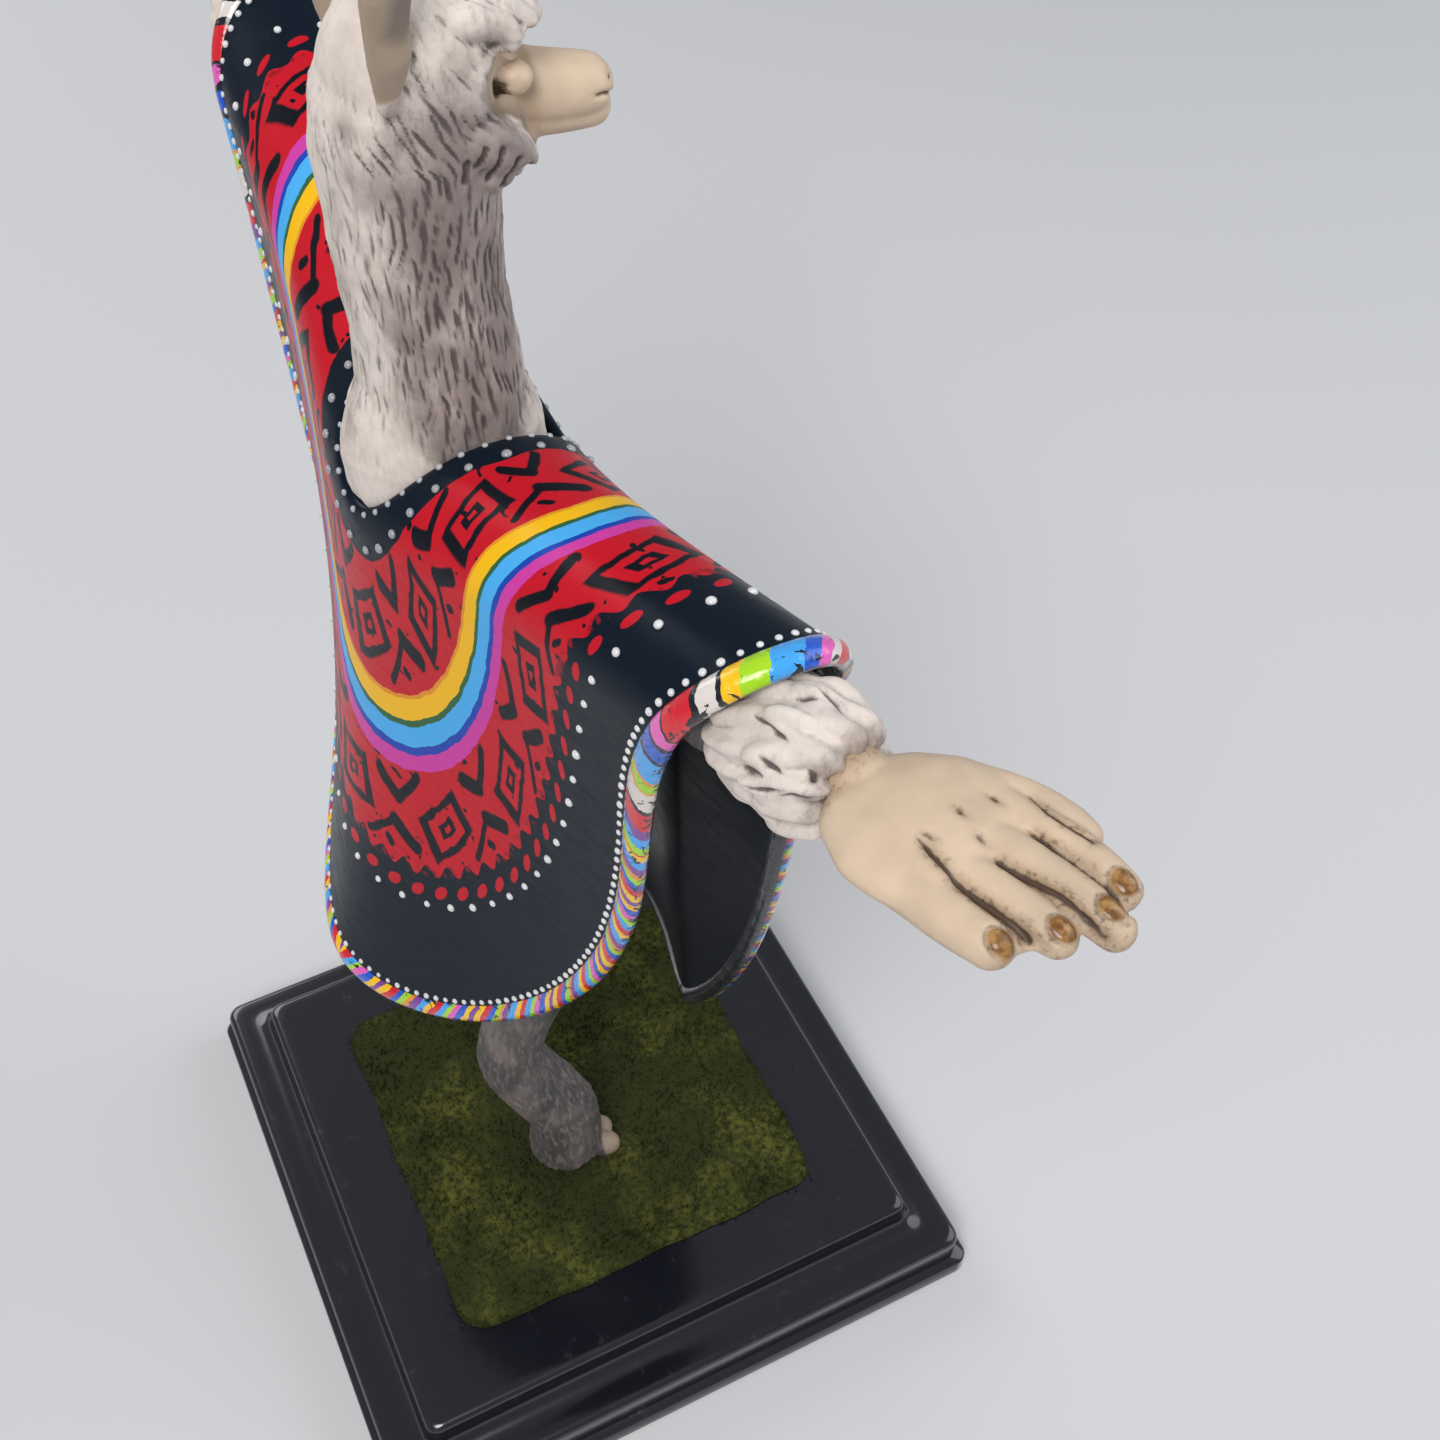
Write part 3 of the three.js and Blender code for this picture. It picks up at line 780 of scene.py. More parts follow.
def motifs(paint, turn, share, band, repeats, wobble, width):
    """The black marks of one red band: thick slanted frames with hooks between them.

    width is how wide a repeat is for its height, so that strokes are as thick both ways."""
    low, high = band
    v = (share - low) / (high - low) + wobble * 0.07
    cell = turn * repeats + 0.5
    wide = (paint.math("FRACT", cell) - 0.5 + wobble * 0.05) * width
    up = v - 0.55
    along = abs(wide * 0.93 - up * 0.36)
    above = abs(wide * 0.36 + up * 0.93)

    def block(half_long, half_high):
        return paint.span(paint.math("MAXIMUM", along / half_long, above / half_high), 1.06, 0.96)

    frame_ = block(0.39, 0.25) - block(0.25, 0.17)
    marks = paint.math("MAXIMUM", frame_, block(0.13, 0.08) - block(0.05, 0.03))
    other = (paint.math("FRACT", cell + 0.5) - 0.5) * width
    point = paint.add("CombineXYZ", {0: other, 1: v})
    for a, b, thick in HOOKS:
        near = paint.span(stroke(paint, point, a, b), thick * 1.2, thick * 0.85)
        marks = paint.math("MAXIMUM", marks, near)
    specks = paint.span(paint.noise(640.0, 1, 0.4), 0.7, 0.73)
    return paint.math("MAXIMUM", marks, specks)


def cloth_paint(colours):
    paint = Paint("painted_cloth")
    turn, share = paint.uv("weave")
    ring = paint.uv("ring")[0]
    wobble = paint.noise(420.0, 2) - 0.5
    brush = paint.noise((240.0, 240.0, 900.0))
    teeth = paint.math("COSINE", ring * TURN) * (share > (RAINBOW[1] + RED2[1]) / 2)
    edge = share + wobble * 0.012 + teeth * -0.012
    red = paint.mix(brush * 0.5, colours.band, (0.42, 0.01, 0.02))
    marked = (1, 0, 0)
    rainbow = [
        (0.0, (0.75, 0.28, 0.02)),
        (0.05, (0.9, 0.5, 0.01)),
        (0.31, (0.03, 0.13, 0.05)),
        (0.39, (0.07, 0.42, 0.85)),
        (0.65, (0.012, 0.06, 0.42)),
        (0.77, (0.6, 0.05, 0.36)),
        (0.98, marked),
    ]
    start, end = RAINBOW
    stops = [(start + (end - start) * place, colour) for place, colour in rainbow]
    stripes = paint.bands(edge, [(0.0, colours.cloth), (RED1[0], marked), *stops, (RED2[1], colours.cloth)])
    redness, greenness = (paint.add("SeparateColor", {0: stripes}, k) for k in (0, 1))
    is_red = (redness > 0.97) * (greenness < 0.01)
    first = motifs(paint, turn, share, RED1, 11, wobble, 1.55)
    second = motifs(paint, turn, share, RED2, 16, wobble, 1.6)
    marks = paint.mix(share < 0.38, second, first)
    tone = paint.mix(is_red, stripes, paint.mix(marks, red, BLACK))

    # painted ovals beyond the second band, each in a notch of its edge
    u = paint.math("FRACT", ring + 0.5) - 0.5
    v = (share - OVALS) / 0.0125 + u * 1.5
    far = paint.math("SQRT", v**2.0 + (u / 0.27) ** 2.0) + wobble * 0.5
    tone = paint.mix(paint.span(far, 1.9, 1.7), tone, colours.cloth)
    tone = paint.mix(paint.span(far, 1.08, 0.92), tone, red)
    fuzz = paint.span(abs(share - RED2[1]), 0.02, 0.0)
    spots = paint.span(paint.noise(800.0, 1), 0.58, 0.63)
    tone = paint.mix(fuzz * spots, tone, paint.mix(0.5, red, BLACK))

    tone = paint.mix(paint.value("inside"), tone, LINING)
    dust = paint.span(paint.noise(330.0, 5, 0.7), 0.6, 0.85)
    tone = paint.mix(dust * 0.05, tone, (0.2, 0.21, 0.24))
    height = brush * 0.5 + redness * 0.2 + paint.noise(70.0, 2) * 0.8
    return paint.finish(
        Base_Color=tone,
        Roughness=paint.span(brush, 0.3, 0.8, 0.3, 0.42),
        Specular_IOR_Level=0.1,
        Coat_Weight=0.04,
        Coat_Roughness=0.2,
        Normal=paint.bump(height, 0.22, 0.00025),
    )


TRIM_COLOURS = {
    "red": (0.66, 0.008, 0.02),
    "white": (0.74, 0.68, 0.64),
    "pink": (0.8, 0.12, 0.5),
    "blue": (0.01, 0.1, 0.62),
    "sky": (0.05, 0.38, 0.88),
    "lime": (0.38, 0.7, 0.01),
    "yellow": (0.95, 0.55, 0.0),
    "orange": (0.8, 0.3, 0.03),
    "violet": (0.2, 0.05, 0.32),
    "black": BLACK,
}
# Bars across the hem in their order and width in millimetres, on the sleeves and on the panels
BROAD_FROM = 231.0
BROAD_BARS = """lime 1.4 sky 1.6 violet 1.8 red 3.0 black 0.7 white 3.2 orange 0.5 lime 1.6 orange 0.5
    sky 3.9 black 0.8 blue 2.4 black 0.7 pink 1.9 black 0.4 red 3.9 black 0.9 white 1.9 black 0.7
    yellow 1.7 lime 2.6 sky 3.2 blue 1.9 pink 1.6 white 1.1 red 1.8 white 1.9 black 1.1 orange 2.6"""
THIN_BARS = """yellow 1.3 red 1.4 blue 1.2 lime 1.2 orange 0.8 violet 1.3 sky 1.5 yellow 1.1 red 1.3
    sky 1.4 lime 1.0 pink 1.2 blue 1.4 yellow 1.2 violet 1.1"""


def trim_paint():
    """Painted bars across the beaded hem: broad ones on the sleeves, thin ones along the panels."""
    paint = Paint("beaded_hem")
    along, across = paint.uv("weave")
    wobble = paint.noise(520.0, 2) - 0.5
    far = along + across * 1.5 + wobble * 1.3

    def bars(order, start):
        words = order.split()
        widths = [float(word) for word in words[1::2]]
        total = sum(widths)
        places = np.cumsum([0.0, *widths[:-1]]) / total
        stops = [(place, TRIM_COLOURS[word]) for place, word in zip(places, words[::2])]
        return paint.bands(paint.math("FRACT", (far - start) / total), stops), total

    broad, total = bars(BROAD_BARS, BROAD_FROM)
    thin, _ = bars(THIN_BARS, 0.0)
    tone = paint.mix((far > BROAD_FROM) * (far < BROAD_FROM + total), thin, broad)
    cracks = paint.noise(620.0, 3, 0.6, 1.2)
    gaps = paint.span(cracks + abs(across) ** 3.0 * 0.13, 0.66, 0.675)
    tone = paint.mix(gaps, tone, BLACK)
    tone = paint.mix(paint.value("inside"), tone, LINING)
    normal = paint.bump(cracks - gaps * 0.5, 0.45, 0.0004)
    return paint.finish(Base_Color=tone, Roughness=0.22, Coat_Weight=0.5, Coat_Roughness=0.08, Normal=normal)


def dot_paint(colour):
    paint = Paint("raised_dots")
    tone = paint.mix(paint.noise(1500.0, 2), colour, (0.6, 0.62, 0.66))
    tone = paint.mix(paint.value("worn"), tone, (0.2, 0.21, 0.24))
    return paint.finish(Base_Color=tone, Roughness=0.25, Coat_Weight=0.5, Coat_Roughness=0.1)


class STATUETTE_OT_poncho(bpy.types.Operator):
    """Builds the painted poncho, its beaded hem and its raised dots"""

    bl_idname = "statuette.poncho"
    bl_label = "Poncho"

    def execute(self, context):
        colours = context.scene.statuette_colours
        sizes = context.scene.statuette_sizes
        self.cloth(sizes.cloth_spokes, colours)
        self.trim()
        self.dots(sizes.dot_radius / MM, colours)
        return {"FINISHED"}

    def cloth(self, around, colours):
        angles = spoke_angles(around, 0.75, 0.8)
        end = 1 - TRIM_WIDTH / 2 / reach_of(angles)
        rows = np.r_[0.0, 0.004, 0.012, np.linspace(0.03, 1.0, 54)]
        thick = np.r_[0.35, 0.75, 1.0, np.ones(54)] * CLOTH_THICKNESS / 2
        outer, inner = [], []
        for share, wall in zip(rows, thick):
            middle = sheet(angles, share * end)
            normal = sheet_normal(angles, np.maximum(share * end, 0.002))
            outer.append(middle + normal * wall)
            inner.append(middle - normal * wall)
        grid = np.stack([*outer, *inner[::-1]], 1)
        across = grid.shape[1]
        faces = ring_faces(around, across)
        cloth = from_arrays("poncho_cloth", (grid.reshape(-1, 3) + (0, 0, GROUND)) * MM, faces)

        shares = painted_share(angles[:, None], np.r_[rows, rows[::-1]][None, :] * end[:, None])
        put_ring_uv(cloth, "weave", turn_of(angles), 1.0, shares)
        fine, ovals, count = oval_row()
        put_ring_uv(cloth, "ring", np.interp(angles, fine, ovals), count, np.zeros(shares.shape))
        side = np.r_[np.zeros(len(rows)), np.ones(len(rows))]
        keep_values(cloth, "inside", np.tile(side, around))
        cloth.data.materials.append(cloth_paint(colours))
        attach(cloth, "root")
        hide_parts("poncho")

    def trim(self):
        around, sides = 480, 20
        angles = spoke_angles(around, 1.0, 0.5)
        share = 1 - TRIM_WIDTH / 2 / reach_of(angles)
        middle = sheet(angles, share)
        turn = np.linspace(0, TURN, sides, endpoint=False)
        uneven = 1 + 0.05 * grain(middle, (0.5, 0.5, 0.5), 9.0)
        ring = (
            middle[:, None]
            + outward_of(angles, share)[:, None] * (np.cos(turn) * TRIM_WIDTH / 2)[None, :, None]
            + sheet_normal(angles, share)[:, None]
            * (np.sin(turn) * TRIM_THICKNESS / 2)[None, :, None]
            * uneven[:, None, None]
        )
        faces = [face[::-1] for face in ring_faces(around, sides)]
        hem = from_arrays("poncho_hem", (ring.reshape(-1, 3) + (0, 0, GROUND)) * MM, faces)

        # the left sleeve's bars mirror the right one's
        far = lengths_along(sheet(np.r_[angles, angles[0]], np.ones(around + 1)))
        back, right, front = np.interp(np.array([1, 2, 3]) * math.pi / 2, np.r_[angles, TURN], far)
        across = np.cos(turn)
        corner_uv = []
        for a, b in zip(far, far[1:]):
            if (a + b) / 2 < back:
                a, b = right - a, right - b
            elif (a + b) / 2 > front:
                a, b = right + far[-1] - a, right + far[-1] - b
            for here, there in zip(across, np.roll(across, -1)):
                corner_uv += [(b, here), (b, there), (a, there), (a, here)]
        put_uv(hem, "weave", corner_uv)
        keep_values(hem, "inside", np.tile(np.clip(-np.sin(turn) * 3 - 0.6, 0, 1), around))
        hem.data.materials.append(trim_paint())
        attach(hem, "root")

    def dots(self, radius, colours):
        fine, ovals, count = oval_row()
        white = np.interp(np.arange(count) + 0.33, ovals, fine)
        edge, first, second = spoke_angles(300, 1.0), spoke_angles(34, 0.0), spoke_angles(28, 0.06)
        # angles, shares of the way to the hem, size, and how worn the paint is
        rows = [
            (white, share_painted(white, OVALS) + 2.2 / reach_of(white), 1.12, 0.0),
            (edge, 1 - (TRIM_WIDTH + 0.3) / reach_of(edge), 0.88, 0.0),
            (first, np.full(34, 0.012), 0.8, 0.6),
            (second, np.full(28, 0.066), 1.15, 0.75),
        ]
        rng = np.random.default_rng(11)
        sides, rings = 10, 3
        surface = CLOTH_THICKNESS / 2
        turn = np.linspace(0, TURN, sides, endpoint=False)
        rise = np.arange(rings) / rings * math.pi / 2
        verts, faces, worn = [], [], []
        for angles, shares, size, wear in rows:
            normals = sheet_normal(angles, shares)
            along = outward_of(angles, shares)
            across = np.cross(normals, along)
            for centre, normal, ahead, aside in zip(sheet(angles, shares), normals, along, across):
                r = radius * size * rng.uniform(0.85, 1.12)
                start = len(worn)
                round_ = ahead * np.cos(turn)[:, None] + aside * np.sin(turn)[:, None]
                lifts = surface + 0.75 * r * np.sin(rise)
                lifts[0] -= 0.12
                dome = [centre + normal * lift + round_ * flat for lift, flat in zip(lifts, r * np.cos(rise))]
                ends = centre + np.outer([surface + 0.78 * r, surface - 0.2], normal)
                verts.append(np.vstack([*dome, ends]))
                worn += [wear] * len(verts[-1])
                faces += [tuple(start + i for i in face[::-1]) for face in tube_faces(rings, sides)]
                top = start + rings * sides
                for i in range(sides):
                    j = (i + 1) % sides
                    faces.append((top - sides + j, top - sides + i, top))
                    faces.append((start + i, start + j, top + 1))
        dots = from_arrays("poncho_dots", (np.vstack(verts) + (0, 0, GROUND)) * MM, faces)
        face_outward(dots)
        keep_values(dots, "worn", worn)
        dots.data.materials.append(dot_paint(colours.dot))
        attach(dots, "root")


# Llama

NECK = [(0, 3.8, 136), (0, 3.8, 148), (0, 3.4, 158), (0, 3.8, 170), (0, 3.0, 182), (0, 1.6, 193)]
NECK_RADII = [7.4, 8.0, 8.2, 7.6, 7.8, 8.6, 8.2]
NECK_FLARE = [(0, 4.1, 139), (0, 4.1, 148), (0, 3.8, 160)]
SKULL = ((0, 1.2, 189), (8.2, 9.0, 9.4))
SNOUT = [(0, -2, 186.2), (0, -8, 184.9), (0, -13, 183.9), (0, -17.2, 183.3)]
JAW = [(0, -4, 184), (0, -9, 182.7), (0, -13, 181.7), (0, -16.9, 181.2)]
UPPER_RUFF = [(6.3, 0.7, 186.2), (6.2, -2.4, 183.9), (5.4, -4.7, 182.3), (4.2, -6.7, 181.3)]
LOWER_RUFF = [(5.8, 1.2, 182.8), (5.6, -1.5, 181.3), (4.8, -4.2, 180.7), (3.6, -6.1, 180.1)]
EAR = [(6.6, 5.8, 189.0), (8.0, 5.5, 196.5), (8.9, 4.7, 204.5), (8.3, 3.1, 212.8)]
EYE = (4.6, -6.1, 188.6)
EYE_RADII = (1.7, 1.75, 1.6)
NOSTRIL = (1.7, -16.6, 184.7)
# The edge of the wool round the face: how far back it lies at each height
FACE_HEIGHTS = [178.5, 179.5, 181.8, 183.8, 185.4, 187.3, 189.3, 190.9, 191.8, 192.4, 192.9]
FACE_EDGE = [-11.5, -9.2, -7.2, -6.4, -4.6, -2.8, -2.5, -2.9, -4.0, -5.6, -8.0]
# Short cuts in the ruff under the face, seen from the side: y and z of both ends
RUFF_CUTS = [
    [(0.2, 183.8), (0.7, 182.0)],
    [(-1.5, 185.0), (-0.6, 183.2)],
    [(-3.1, 184.4), (-1.8, 181.2)],
    [(-4.7, 182.8), (-3.2, 179.8)],
    [(-6.0, 181.4), (-4.7, 179.2)],
]

# The hand, measured ahead from the wrist, across to the thumb and up: paths and their radii
PALM = [(1.2, -0.6, 0), (6, -1.2, 0.1), (12, -1.4, 0.3), (18.6, -1.2, 0.1)]
PALM_RADII = [3.2, 6.2, 8.1, 8.4, 7.7, 5.6]
WRIST = [(-4, 0, 0), (0, 0, 0), (5, -0.9, 0)]
WEB = [(10, -1.2, -0.2), (18, -1.7, 0.3), (25.0, -1.9, -0.4)]
FINGERS = [
    [(9, -6.2, -0.4), (16.5, -7.4, 0.1), (21.6, -7.7, 0.1), (23.7, -7.8, -0.4)],
    [(10, -3.3, 0.0), (19, -3.7, 0.6), (24.6, -4.0, 0.4), (27.0, -4.1, -0.4)],
    [(11, 0.3, 0.2), (21, 0.0, 0.8), (26.6, -0.3, 0.5), (29.8, -0.4, -0.9)],
    [(11, 3.8, 0.0), (20, 3.9, 0.6), (25.6, 3.2, 0.4), (28.1, 2.7, -0.6)],
    [(7, 4.6, -0.7), (14.5, 6.5, -0.4), (19.2, 6.6, -0.4), (22.4, 6.0, -0.9)],
]
FINGER_RADII = [
    [2.5, 2.4, 2.25, 2.15, 1.9],
    [2.4, 2.3, 2.25, 2.1, 1.5],
    [2.4, 2.3, 2.25, 2.15, 1.75],
    [2.3, 2.15, 2.05, 1.95, 1.75],
    [2.3, 2.05, 1.95, 1.85, 1.65],
]
CREASES = [
    [(11.1, -4.2), (14, -5), (17.5, -5.7), (22.7, -5.9), (25.5, -6.0)],
    [(17.1, -1.7), (18.7, -2), (21.2, -1.9), (23.8, -1.8), (28.4, -2.2)],
    [(17.3, 2.4), (20.4, 2.1), (23.4, 1.7), (28.6, 1.3)],
    [(15, 6.2), (18.1, 4.9), (20.1, 4.5), (22.8, 4.5)],
]
DIMPLES = [(14.2, 3.1), (13.1, -0.2), (15.9, -1.2), (12.8, -3.8)]
NAILS = [(22.7, -7.8), (25.7, -3.9), (27.6, -0.1), (26.8, 2.9)]
NAIL_RADII = (1.2, 1.1)

# Cuts in a cuff's wool: place along the arm and turn round it, from and to
CUFF_RADIUS = 6.0
CUFF_CUTS = [
    ((-6.4, 2.12), (-1.6, 2.16)),
    ((-6.0, 2.86), (-2.4, 2.74)),
    ((-4.6, 3.08), (0.3, 2.78)),
    ((-0.8, 2.95), (2.4, 2.68)),
    ((0.3, 2.3), (1.9, 2.45)),
    ((-3.4, 2.5), (-0.8, 2.58)),
    ((-3.4, 1.3), (1.2, 1.2)),
    ((-6.2, 3.3), (-3.0, 3.2)),
    ((-5.0, 1.5), (-2.2, 1.42)),
    ((-5.4, 0.6), (-1.5, 0.5)),
    ((-4.0, 3.7), (0.5, 3.5)),
    ((-5.6, 4.5), (-1.0, 4.4)),
    ((-3.5, 5.3), (1.0, 5.2)),
    ((-5.0, 6.0), (-1.0, 5.9)),
]


def llama_paint(colours):
    """Wool with dark furrows, skin with brown creases and bronze nails, told apart by attributes. The dim
    attribute and part of the crease attribute are painted shade.
    """
    paint = Paint("llama_paint")
    hollow, skin, nail = (paint.value(name) for name in ("hollow", "skin", "nail"))
    crease, dim = (paint.value(name) for name in ("crease", "dim"))
    streak = paint.noise((1300.0, 1300.0, 330.0), 4, 0.6)
    cloud = paint.noise(150.0, 4, 0.6)
    # dim darkens wool and skin: a brown wash with painted shade on the neck's sides, and the painted shadow
    # of the poncho on the leg, the darkest step
    film = dim + (cloud - 0.5) * 1.1
    lines = paint.span(streak, 0.46, 0.68) * paint.span(dim, -0.3, 0.6, 0.12, 0.6)
    wool = paint.mix(paint.span(cloud, 0.35, 0.7), colours.wool, (0.62, 0.54, 0.48))
    wool = paint.mix(paint.span(film, 0.0, 0.9, 0.0, 0.85), wool, (0.21, 0.165, 0.155))
    wool = paint.mix(paint.span(film, 1.0, 2.0), wool, (0.06, 0.058, 0.058))
    wool = paint.mix(lines, wool, (0.26, 0.21, 0.195))
    wool = paint.mix(paint.span(hollow + (streak - 0.5) * 0.5, 0.12, 0.75, 0.0, 0.9), wool, colours.wash)

    speck = paint.noise(1700.0, 3, 0.6)
    # the crease attribute: specks and grime on the skin, and painted shadow under the jaw and on the finger
    # tips' undersides
    grime_and_shade = crease + (cloud - 0.5) * 0.5
    spotted = paint.span(speck, 0.5, 0.68) * paint.span(crease, 0.15, 0.8, 0.0, 0.75)
    soft = paint.mix(paint.span(cloud, 0.3, 0.75), colours.skin, (0.56, 0.43, 0.31))
    soft = paint.mix(paint.span(grime_and_shade, 0.1, 1.0, 0.0, 0.55), soft, (0.3, 0.2, 0.12))
    soft = paint.mix(spotted, soft, (0.16, 0.1, 0.06))
    soft = paint.mix(paint.span(dim, 0.0, 1.0), soft, (0.2, 0.155, 0.12))
    soft = paint.mix(paint.span(hollow + (speck - 0.5) * 0.5, 0.18, 0.8), soft, colours.skin_wash)

    # the lighter patches in the nails' bronze are painted highlights
    bronze = paint.mix(paint.span(paint.noise(900.0, 3), 0.4, 0.65), colours.nail, (0.42, 0.23, 0.08))
    rough = paint.mix(nail, paint.mix(skin, (0.62, 0.62, 0.62), (0.5, 0.5, 0.5)), (0.22, 0.22, 0.22))
    height = streak * paint.math("SUBTRACT", 1.0, skin) + speck * 0.15
    return paint.finish(
        Base_Color=paint.mix(nail, paint.mix(skin, wool, soft), bronze),
        Roughness=rough,
        Normal=paint.bump(height, 0.4, 0.0003),
        Specular_IOR_Level=0.4,
    )


def finish_carving(obj, points, cuts, kept, depth, rounds, **marks):
    """Puts carved points in place, and stores what the paint reads.

    cuts is how dark the carved lines are. To these comes the share `kept` of the hollows that are
    measured against the mesh evened out so many rounds, a full one being as deep as `depth`."""
    put_points(obj, points)
    points = points_of(obj)
    hollow = np.einsum("ij,ij->i", relaxed(obj, rounds) - points, points_of(obj, "normal"))
    marks = {"skin": 0.0, "nail": 0.0, "crease": 0.0, "dim": 0.0, **marks}
    keep_values(obj, "hollow", np.clip(np.clip(hollow / depth, 0, 1) * kept + cuts, 0, 1))
    for name, value in marks.items():
        keep_values(obj, name, np.broadcast_to(np.asarray(value, float), (len(points),)))
    put_points(obj, (points + (0, 0, GROUND)) * MM)
    colours = bpy.context.scene.statuette_colours
    obj.data.materials.append(bpy.data.materials.get("llama_paint") or llama_paint(colours))


def furrows(round_, height, points, rows, seed, length=5.0, wave=0.9):
    """How deep a carved furrow is at each place, 0 to 1: short, uneven and nearly along `height`.

    round_ is the place round the form, in turns, and rows is how many furrows go round it."""
    place = round_ * rows + wave * grain(points, (0.16, 0.16, 0.12), seed)
    row = np.floor(place)
    across = place - row - 0.5
    row = np.mod(row, rows)
    shift = np.mod(np.sin(row * 127.1 + seed) * 43758.5453, 1.0)
    along = (height + 11.0 * shift) / length
    cell = np.floor(along)
    part = along - cell - 0.5
    chance = np.mod(np.sin(cell * 311.7 + row * 74.7 + seed) * 24634.6345, 1.0)
    bent = across + 0.3 * np.sin(part * 3.0 + chance * 6.28)
    return bell(bent, 0.12 + 0.16 * chance) * ramp(np.abs(part), 0.5, 0.1) * (0.25 + 0.75 * chance)


class STATUETTE_OT_head(bpy.types.Operator):
    """Carves the head and neck in locks of wool, with the snout, closed eyes and ears"""

    bl_idname = "statuette.head"
    bl_label = "Head and neck"

    def execute(self, context):
        obj = sculpt("llama_head", self.parts(), context.scene.statuette_sizes.wool_voxel, 1)
        points = points_of(obj)
        normal = points_of(obj, "normal")
        x, y, z = points.T
        edge = y - np.interp(z, FACE_HEIGHTS, FACE_EDGE)
        neck_y = np.interp(z, [p[2] for p in NECK], [p[1] for p in NECK])
        behind = ramp(y - neck_y, 2, 7)
        ear, cup = self.ears(points, normal)
        points = points - normal * (0.8 * cup)[:, None]
        lid, sink, dark = self.eyes(points)

        # the snout and the skin round the eyes
        bare = ramp(edge, 0, -0.35) * (z > 176)
        bare *= 1 - ramp(y, -8.2, -8.6) * ramp(z, 189.7, 190.0)
        bare *= ramp(z, 193.2, 192.9)
        lips = bell(z - (181.8 + 0.68 * np.abs(x)), 0.27) * ramp(y, -13.8, -14.8)
        # painted shadow under the jaw (under) and painted shade in the recess between the wool's edge and
        # each eye (rear); both darken the lines and the skin
        under = ramp(z - 0.1 * (y + 17), 180.2, 179.0) * (y < -8)
        rear = ramp(edge, -2.2, 0) * (edge < 0) * ramp(y, -8.5, -7.0) * bare
        dark += 0.7 * lips + 0.35 * under * bare + 0.12 * rear * (1 - lid)
        skin = np.clip(np.maximum(bare, lid * (edge < 0)) + ear, 0, 1)
        wool = 1 - skin
        round_face = bell(edge - 1.1, 1.0) * (z > 181) * (z < 193.4) * (1 - ear) * (y > -7.5)
        drop = ramp(edge, 0.3, -1.3)
        drop = drop * drop * (3 - 2 * drop) * bare * ramp(y, -9, -7) * (1 - lid)
        sink += 0.45 * lips + 1.1 * drop - 0.6 * round_face * (1 - bare)

        # furrows down the neck and round the head, away from the crown, and cuts in the ruff
        round_ = np.arctan2(x, neck_y - y) / TURN
        round_ = round_ - np.tanh(x / 3.0) * 0.6 * np.clip(z - 183, 0, 14) / 52.0
        cut = furrows(round_, z, points, 56, 1.0, 5.0)
        cut = np.maximum(cut, 0.9 * furrows(round_, z, points, 41, 5.0, 8.0, 1.1))
        cut = np.maximum(cut, 0.8 * furrows(round_, z, points, 47, 11.0, 6.0, 1.4))
        cut *= np.where(z > 192, ramp(np.hypot(x, y - neck_y), 3, 6), 1.0)
        plain = 0.7 * ramp(z, 187, 193) + 0.75 * ramp(z, 157, 149) + 0.5 * behind
        ruff = ramp(z, 178, 179.5) * ramp(z, 187, 185.5) * ramp(y, 1.5, -0.5)
        cut *= 1 - np.clip(plain + 0.7 * ruff, 0, 0.85)
        tufts = np.zeros(len(points))
        for line in RUFF_CUTS:
            far, _ = near_line(np.c_[y, z], line)
            tufts = np.maximum(tufts, bell(far, 0.3) * np.clip(np.abs(x) - 3.0, 0, 1))
        broad = grain(points, (0.42, 0.42, 0.2), 3.0)
        fine = grain(points, (1.5, 1.5, 0.6), 8.0)
        carved = 0.42 * cut + 0.5 * tufts - 0.3 * broad - 0.1 * fine
        points = points - normal * (carved * wool + sink)[:, None]

        # darker on the sides of the neck, partly a brown wash and partly painted shade; lighter at the back,
        # the front, the base and the crown. On the skin, painted shade in the ears' hollow fronts and behind
        # the eyes
        dim = 0.85 - 0.75 * behind - 0.45 * ramp(y - neck_y, -5.5, -8.5)
        dim = dim - 0.6 * ramp(z, 156, 146) - 0.8 * ramp(z, 188, 194)
        dim = dim + 0.45 * grain(points, (0.35, 0.35, 0.14), 6.0)
        rim = ear * ramp(cup, 0.62, 0.32)
        on_skin = 0.9 * ear * (1 - 0.35 * rim) + 0.95 * rear * (1 - 0.85 * lid)
        dim = np.where(skin > 0.5, on_skin, dim)
        cuts = (0.85 * cut + 0.75 * tufts) * wool + dark
        # brown on the lids, and painted shadow under the jaw
        crease = 0.15 * lid + 0.3 * under
        finish_carving(obj, points, cuts, 0.6 * wool + 0.1, 0.2, 10, skin=skin, crease=crease, dim=dim)
        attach(obj, "root")
        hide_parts("llama")
        return {"FINISHED"}

